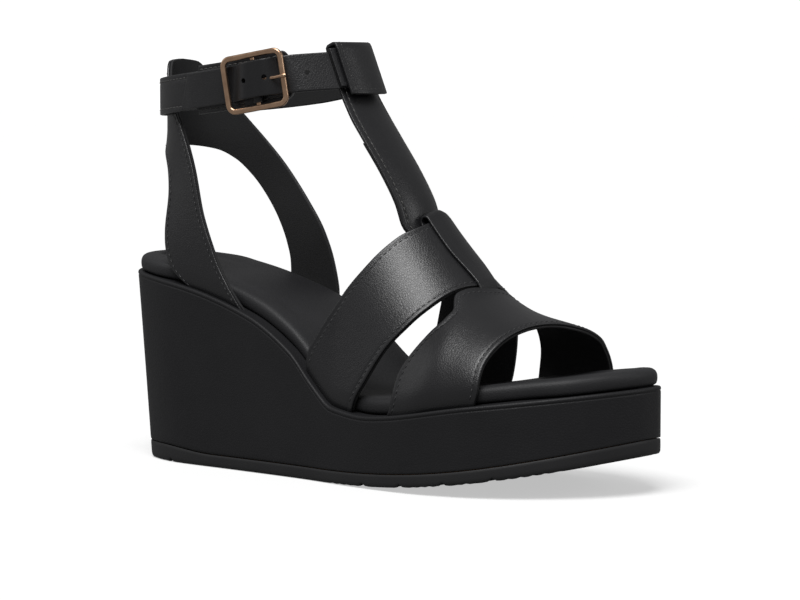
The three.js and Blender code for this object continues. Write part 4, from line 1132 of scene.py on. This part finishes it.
# ---- buckle ----
# A rounded oblong frame of brushed, antiqued rose gold with a fixed bar across its middle. A leather chape rolls
# round the bar and is sewn to the backing tab; the tongue turns on the bar and rests on the frame's front bar.
FRAME_LENGTH, FRAME_HEIGHT, FRAME_WIRE = 29.4, STRAP_WIDTH + 8.6, 2.4
BAR_RADIUS, TONGUE_RADIUS, TAB_TO_PLANE = 0.9, 0.62, 3.2
BUCKLE_X, BUCKLE_SLOPE, BUCKLE_DROP = 81.2, 0.17, 0.5
BAR_Z = -BAR_RADIUS
EYE_INNER, EYE_OUTER, EYE_WIDTH = BAR_RADIUS + GAP, BAR_RADIUS + GAP + 0.8, 2.4


def ring_angle(x):
    return math.degrees(math.acos((ANKLE_MIDDLE - x) / (REAR_HALF if x < ANKLE_MIDDLE else FRONT_HALF)))


def buckle_basis():
    """The buckle's own axes: along the strap towards the instep, up, and away from the ankle, and its middle."""
    angle = -ring_angle(BUCKLE_X)
    ahead, behind = (np.array(ring_point(angle + d)) for d in (-0.5, 0.5))
    flat = np.r_[(ahead - behind) / np.linalg.norm(ahead - behind), 0]
    along = flat + np.array([0, 0, BUCKLE_SLOPE])
    along /= np.linalg.norm(along)
    out = np.array([flat[1], -flat[0], 0])
    up = np.cross(out, along)
    x, y = ring_point(angle)
    middle = np.array([x, y, strap_centre(x) - BUCKLE_DROP]) + out * (STRAP_FAR + TAB_TO_PLANE)
    return np.stack([along, up, out]), middle


buckle_axes, buckle_middle = buckle_basis()


def at_buckle(points):
    """Points in the buckle's own axes, placed on the sandal."""
    return np.asarray(points) @ buckle_axes + buckle_middle


def tube(path, radii, sides=14, closed=False, flatten=1.0, square=2.0):
    """A tube along a path in the buckle's axes. Its cross-section is a superellipse of that power, squashed across
    the plane by flatten. Returns points, quads and end fans."""
    path = np.asarray(path, float)
    ahead = np.roll(path, -1, 0) - np.roll(path, 1, 0) if closed else np.gradient(path, axis=0)
    ahead /= np.linalg.norm(ahead, axis=1)[:, None]
    up = np.array([0, 0, 1.0]) - ahead * ahead[:, 2:3]
    up /= np.maximum(np.linalg.norm(up, axis=1), 1e-9)[:, None]
    across = np.cross(up, ahead)
    turn = np.linspace(0, 2 * math.pi, sides, endpoint=False)
    c, s = (np.sign(f) * np.abs(f) ** (2 / square) for f in (np.cos(turn), np.sin(turn)))
    radii = np.broadcast_to(radii, len(path))[:, None, None]
    points = path[:, None] + radii * (across[:, None] * c[None, :, None] + up[:, None] * flatten * s[None, :, None])
    index = np.arange(len(path) * sides).reshape(len(path), sides)
    high = np.roll(index, -1, 0) if closed else index[1:]
    low = index if closed else index[:-1]
    quads = np.stack([low, np.roll(low, -1, 1), np.roll(high, -1, 1), high], -1).reshape(-1, 4)
    ends = [] if closed else [tuple(index[0][::-1]), tuple(index[-1])]
    return points.reshape(-1, 3), quads, ends


def gold_finish():
    """Antiqued rose gold: satin metal with a fine brushed scratch, darker where the finish has not been rubbed."""
    material, s = new_finish("antique_gold")
    place = s.node("TexCoord", out=3)
    brushed = s.node("TexNoise", {"Vector": s.node("Mapping", {"Vector": place, "Scale": (0.25, 0.25, 3.0)}),
                                  "Scale": 2200.0, "Detail": 2.0})
    patina = s.node("TexNoise", {"Vector": place, "Scale": 260.0, "Detail": 3.0})
    tone = s.tones(patina, (0.42, 0.25, 0.155), (0.78, 0.53, 0.36))
    bump = s.node("Bump", {"Height": brushed, "Strength": 0.12, "Distance": 0.0001})
    shader = s.node("BsdfPrincipled", {"Base Color": tone, "Metallic": 1.0, "Roughness": 0.24 + 0.16 * patina,
                                       "Normal": bump})
    s.surface(shader)
    return material


antique_gold = gold_finish()


def make_frame():
    """The frame's wire follows a rounded rectangle whose corners are quarter circles."""
    half_x, half_y, corner = (FRAME_LENGTH - FRAME_WIRE) / 2, (FRAME_HEIGHT - FRAME_WIRE) / 2, 3.1
    path = []
    for number, (sx, sy) in enumerate(((1, 1), (-1, 1), (-1, -1), (1, -1))):
        turn = np.radians(90 * number + np.linspace(0, 90, 9))
        x, y = sx * (half_x - corner), sy * (half_y - corner)
        path += [(x + corner * math.cos(a), y + corner * math.sin(a), 0) for a in turn]
    points, quads, _ = tube(path, FRAME_WIRE / 2, 20, closed=True, flatten=0.86, square=2.7)
    piece = new_piece("buckle_frame_wire", at_buckle(points), quads, antique_gold, body="buckle")
    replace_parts(piece, "buckle_frame")
    bar = np.array([(0, y, BAR_Z) for y in np.linspace(-1, 1, 12) * (half_y + 0.2)])
    points, quads, ends = tube(bar, BAR_RADIUS, 16)
    piece = new_piece("buckle_centre_bar", at_buckle(points), quads, antique_gold, body="buckle",
                      extra=ends)
    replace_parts(piece, "buckle_bar")


make_frame()


def make_tongue():
    """An eye round the bar, drawn out into a pin that dips to the front bar and ends in a blunt, rounded tip."""
    turn = np.linspace(0, 2 * math.pi, 33)[:-1]
    middle = (EYE_INNER + EYE_OUTER) / 2
    eye = np.c_[middle * np.cos(turn), 0 * turn, BAR_Z + middle * np.sin(turn)]
    side = np.linspace(0, 2 * math.pi, 13)[:-1]
    radial = np.c_[np.cos(turn), 0 * turn, np.sin(turn)]
    thick = 0.4 * np.sign(np.cos(side)) * np.abs(np.cos(side)) ** 0.6
    wide = EYE_WIDTH / 2 * np.sign(np.sin(side)) * np.abs(np.sin(side)) ** 0.6
    ring = (eye[:, None] + radial[:, None] * thick[None, :, None]
            + np.array([0, 1.0, 0]) * wide[None, :, None])
    index = np.arange(ring.size // 3).reshape(len(turn), len(side))
    nxt = np.roll(index, -1, 0)
    quads = np.stack([index, nxt, np.roll(nxt, -1, 1), np.roll(index, -1, 1)], -1).reshape(-1, 4)
    points = ring.reshape(-1, 3)
    tip = FRAME_LENGTH / 2 + 0.9
    top = FRAME_WIRE / 2 * 0.86 + TONGUE_RADIUS + 0.1
    pin = rounded_path([(1.5, 0, BAR_Z + 1.3), (4, 0, BAR_Z + 1.7), (9, 0, top - 0.7), (13.5, 0, top - 0.05),
                        (FRAME_LENGTH / 2 - 1.2, 0, top), (tip - 0.3, 0, top - 0.35), (tip, 0, top - 0.6)], 48)
    run = np.linspace(0, 1, 48)
    blunt = np.sqrt(np.clip(1 - np.clip((run - 0.955) / 0.046, 0, 1) ** 2, 0.02, 1))
    radii = TONGUE_RADIUS * (1 + 0.35 * smooth(run * 3 - 1.9)) * blunt
    more, quads_pin, ends = tube(pin, radii, 14, flatten=0.9)
    fans = [tuple(v + len(points) for v in e) for e in ends]
    piece = new_piece("buckle_pin", at_buckle(np.r_[points, more]), np.r_[quads, quads_pin + len(points)], antique_gold,
                      body="tongue", extra=fans)
    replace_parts(piece, "buckle_tongue")


make_tongue()


def make_chape():
    """Two cheeks of one strip: each comes off the backing tab, rolls round the bar beside the tongue and returns."""
    width, slot = 2 * ((FRAME_HEIGHT - FRAME_WIRE) / 2 - 2.2), EYE_WIDTH + 2 * GAP + 0.4
    roll = (EYE_INNER + EYE_OUTER) / 2 + 0.05
    turn = np.radians(np.linspace(-90, 205, 22))
    loop = [(roll * math.cos(a), BAR_Z + roll * math.sin(a)) for a in turn]
    line = rounded_path([(-7, BAR_Z - roll), (-5, BAR_Z - roll), (-3, BAR_Z - roll), *loop], 90)
    all_points, all_quads, count = [], [], 0
    for side in (-1, 1):
        ys = side * np.linspace(slot / 2, width / 2, 10)
        ahead = np.gradient(line, axis=0)
        ahead /= np.linalg.norm(ahead, axis=1)[:, None]
        out = np.c_[-ahead[:, 1], ahead[:, 0]]
        faces = [line + out * o for o in (-0.36, 0.36)]
        grid = np.array([[[(p[0], y, p[1]) for y in ys] for p in face] for face in faces])
        quads = shell_quads(count + np.arange(grid.size // 3).reshape(2, len(line), len(ys)))
        all_points.append(grid.reshape(-1, 3))
        all_quads.append(quads if side > 0 else quads[:, ::-1])
        count += grid.size // 3
    piece = new_piece("buckle_chape_leather", at_buckle(np.concatenate(all_points)), np.concatenate(all_quads),
                      upper_leather, sharp=60)
    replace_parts(piece, "buckle_chape")


make_chape()

# ---- punched strap end ----
# The free end of the ankle strap: under the frame's front bar, over the centre bar, under the rear bar and on to a
# slanted tip. Holes are punched for the tongue.
END_THICKNESS, END_START, END_TIP, TIP_SLANT = 1.4, -158.4, -62.0, 5.0
UNDER_BAR = -FRAME_WIRE / 2 - 2 * GAP - END_THICKNESS / 2
OVER_BAR = BAR_Z + EYE_OUTER + 1.5 * GAP + END_THICKNESS / 2
HOLE_RADIUS, HOLE_X = 1.1, (79.7, BUCKLE_X + 7.6, 102)


def end_path():
    """The strap end's middle line seen from above, from its root on the ankle's outline through the buckle."""

    def on_ring(degrees, offset):
        ahead, behind = (np.array(ring_point(degrees + turn)) for turn in (-0.4, 0.4))
        out = np.array([behind[1] - ahead[1], ahead[0] - behind[0]])
        out *= -np.sign(out[1]) / np.linalg.norm(out)
        return np.array(ring_point(degrees)) + offset * out

    def on_buckle(along, height):
        return at_buckle(np.array([[along, 0.0, height]]))[0][:2]

    bar, laid = FRAME_LENGTH / 2 - FRAME_WIRE / 2, STRAP_FAR + GAP + END_THICKNESS / 2
    points = [on_ring(degrees, (STRAP_NEAR + STRAP_FAR) / 2) for degrees in (END_START, END_START + 3.5)]
    points += [on_buckle(*p) for p in (
        (bar + 3.2, UNDER_BAR - 1.2), (bar, UNDER_BAR - 0.2), (bar - 2.5, UNDER_BAR + 0.2), (bar - 7.5, OVER_BAR - 0.3),
        (0, OVER_BAR), (-4, OVER_BAR - 0.3), (2.5 - bar, UNDER_BAR + 0.2), (-bar, UNDER_BAR - 0.1),
        (-bar - 3.5, UNDER_BAR - 0.6))]
    points += [on_ring(END_TIP - 9, laid + 0.5), on_ring(END_TIP - 4, laid + 0.2), on_ring(END_TIP, laid + 0.2)]
    return rounded_path(points, 1200)


end_line = end_path()
END_LENGTH = run_along(end_line, 0)[-1]


def end_surface(u, v):
    """u from the root beside the T-strap to the tip, v from the lower edge to the upper one."""
    share = u * (1 - TIP_SLANT * v / END_LENGTH)
    x, y = (np.interp(share, np.linspace(0, 1, len(end_line)), c) for c in end_line.T)
    return leant(x, y, lerp(-1.0, 1.0, v) * (STRAP_WIDTH / 2 - 0.3))


def punched(piece, centres):
    """Cuts a round hole square through the strap at each (place, direction)."""
    points, quads, ends, count = [], [], [], 0
    for place, direction in centres:
        direction = np.array(direction) / np.linalg.norm(direction)
        side = np.cross(direction, (0, 0, 1.0))
        side /= np.linalg.norm(side)
        turn = np.linspace(0, 2 * math.pi, 25)[:-1]
        ring = HOLE_RADIUS * (np.cos(turn)[:, None] * side + np.sin(turn)[:, None] * np.cross(side, direction))
        both = np.concatenate([place - 4 * direction + ring, place + 4 * direction + ring])
        low = count + np.arange(24)
        quads.append(np.stack([low, np.roll(low, -1), np.roll(low, -1) + 24, low + 24], -1))
        ends += [tuple(low[::-1]), tuple(low + 24)]
        points.append(both)
        count += 48
    cutter = new_piece("punch", np.concatenate(points), np.concatenate(quads), upper_leather, extra=ends)
    cut = piece.modifiers.new("holes", "BOOLEAN")
    cut.operation, cut.object, cut.solver = "DIFFERENCE", cutter, "EXACT"
    mesh = bpy.data.meshes.new_from_object(piece.evaluated_get(bpy.context.evaluated_depsgraph_get()))
    piece.modifiers.remove(cut)
    mesh.name = piece.data.name
    piece.data = mesh
    bpy.data.objects.remove(cutter)
    mesh.set_sharp_from_angle(angle=math.radians(50))
    return piece


def make_strap_end():
    v0 = np.linspace(0, 1, 3001)
    run = run_along(end_surface(v0, 0.5 + 0 * v0), 0)
    us = np.interp(spaced(run[-1], 1.1) * run[-1], run, v0)
    strap = sheet_piece("strap_end_leather", end_surface, us, spaced(STRAP_WIDTH, 1.3), -END_THICKNESS / 2,
                        END_THICKNESS / 2, upper_leather, body=None, stitched=STRAP_MARGIN)
    middle = end_surface(v0, 0.5 + 0 * v0)
    holes = []
    for x in HOLE_X:
        at = np.argmin(np.abs(middle[:, 0] - x))
        ahead = middle[min(at + 5, 3000)] - middle[at - 5]
        holes.append((middle[at], (ahead[1], -ahead[0], 0)))
    punched(strap, holes)
    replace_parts(strap, "strap_end")
    even = np.interp(np.linspace(3, run[-1] - 2.4, 700), run, v0)
    share = STRAP_MARGIN / STRAP_WIDTH
    rows = [row_on(end_surface, even, v, END_THICKNESS / 2 - STITCH_DIP) for v in (share, 1 - share)]
    across = np.linspace(share, 1 - share, 120)
    rows.append(row_on(end_surface, np.full(120, even[-1]), across, END_THICKNESS / 2 - 0.1))
    thread = stitches("strap_end_stitching", rows, highlight_painted_thread, body=None)
    hinge = next(j for j in frame["joints"] if j["name"] == "strap_swing")["pos_m"]
    for piece in (strap, thread):
        hinge[0] + 0.001
        hinge[0] - 0.009
        hinge[1] - 0.004
        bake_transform(piece)


make_strap_end()
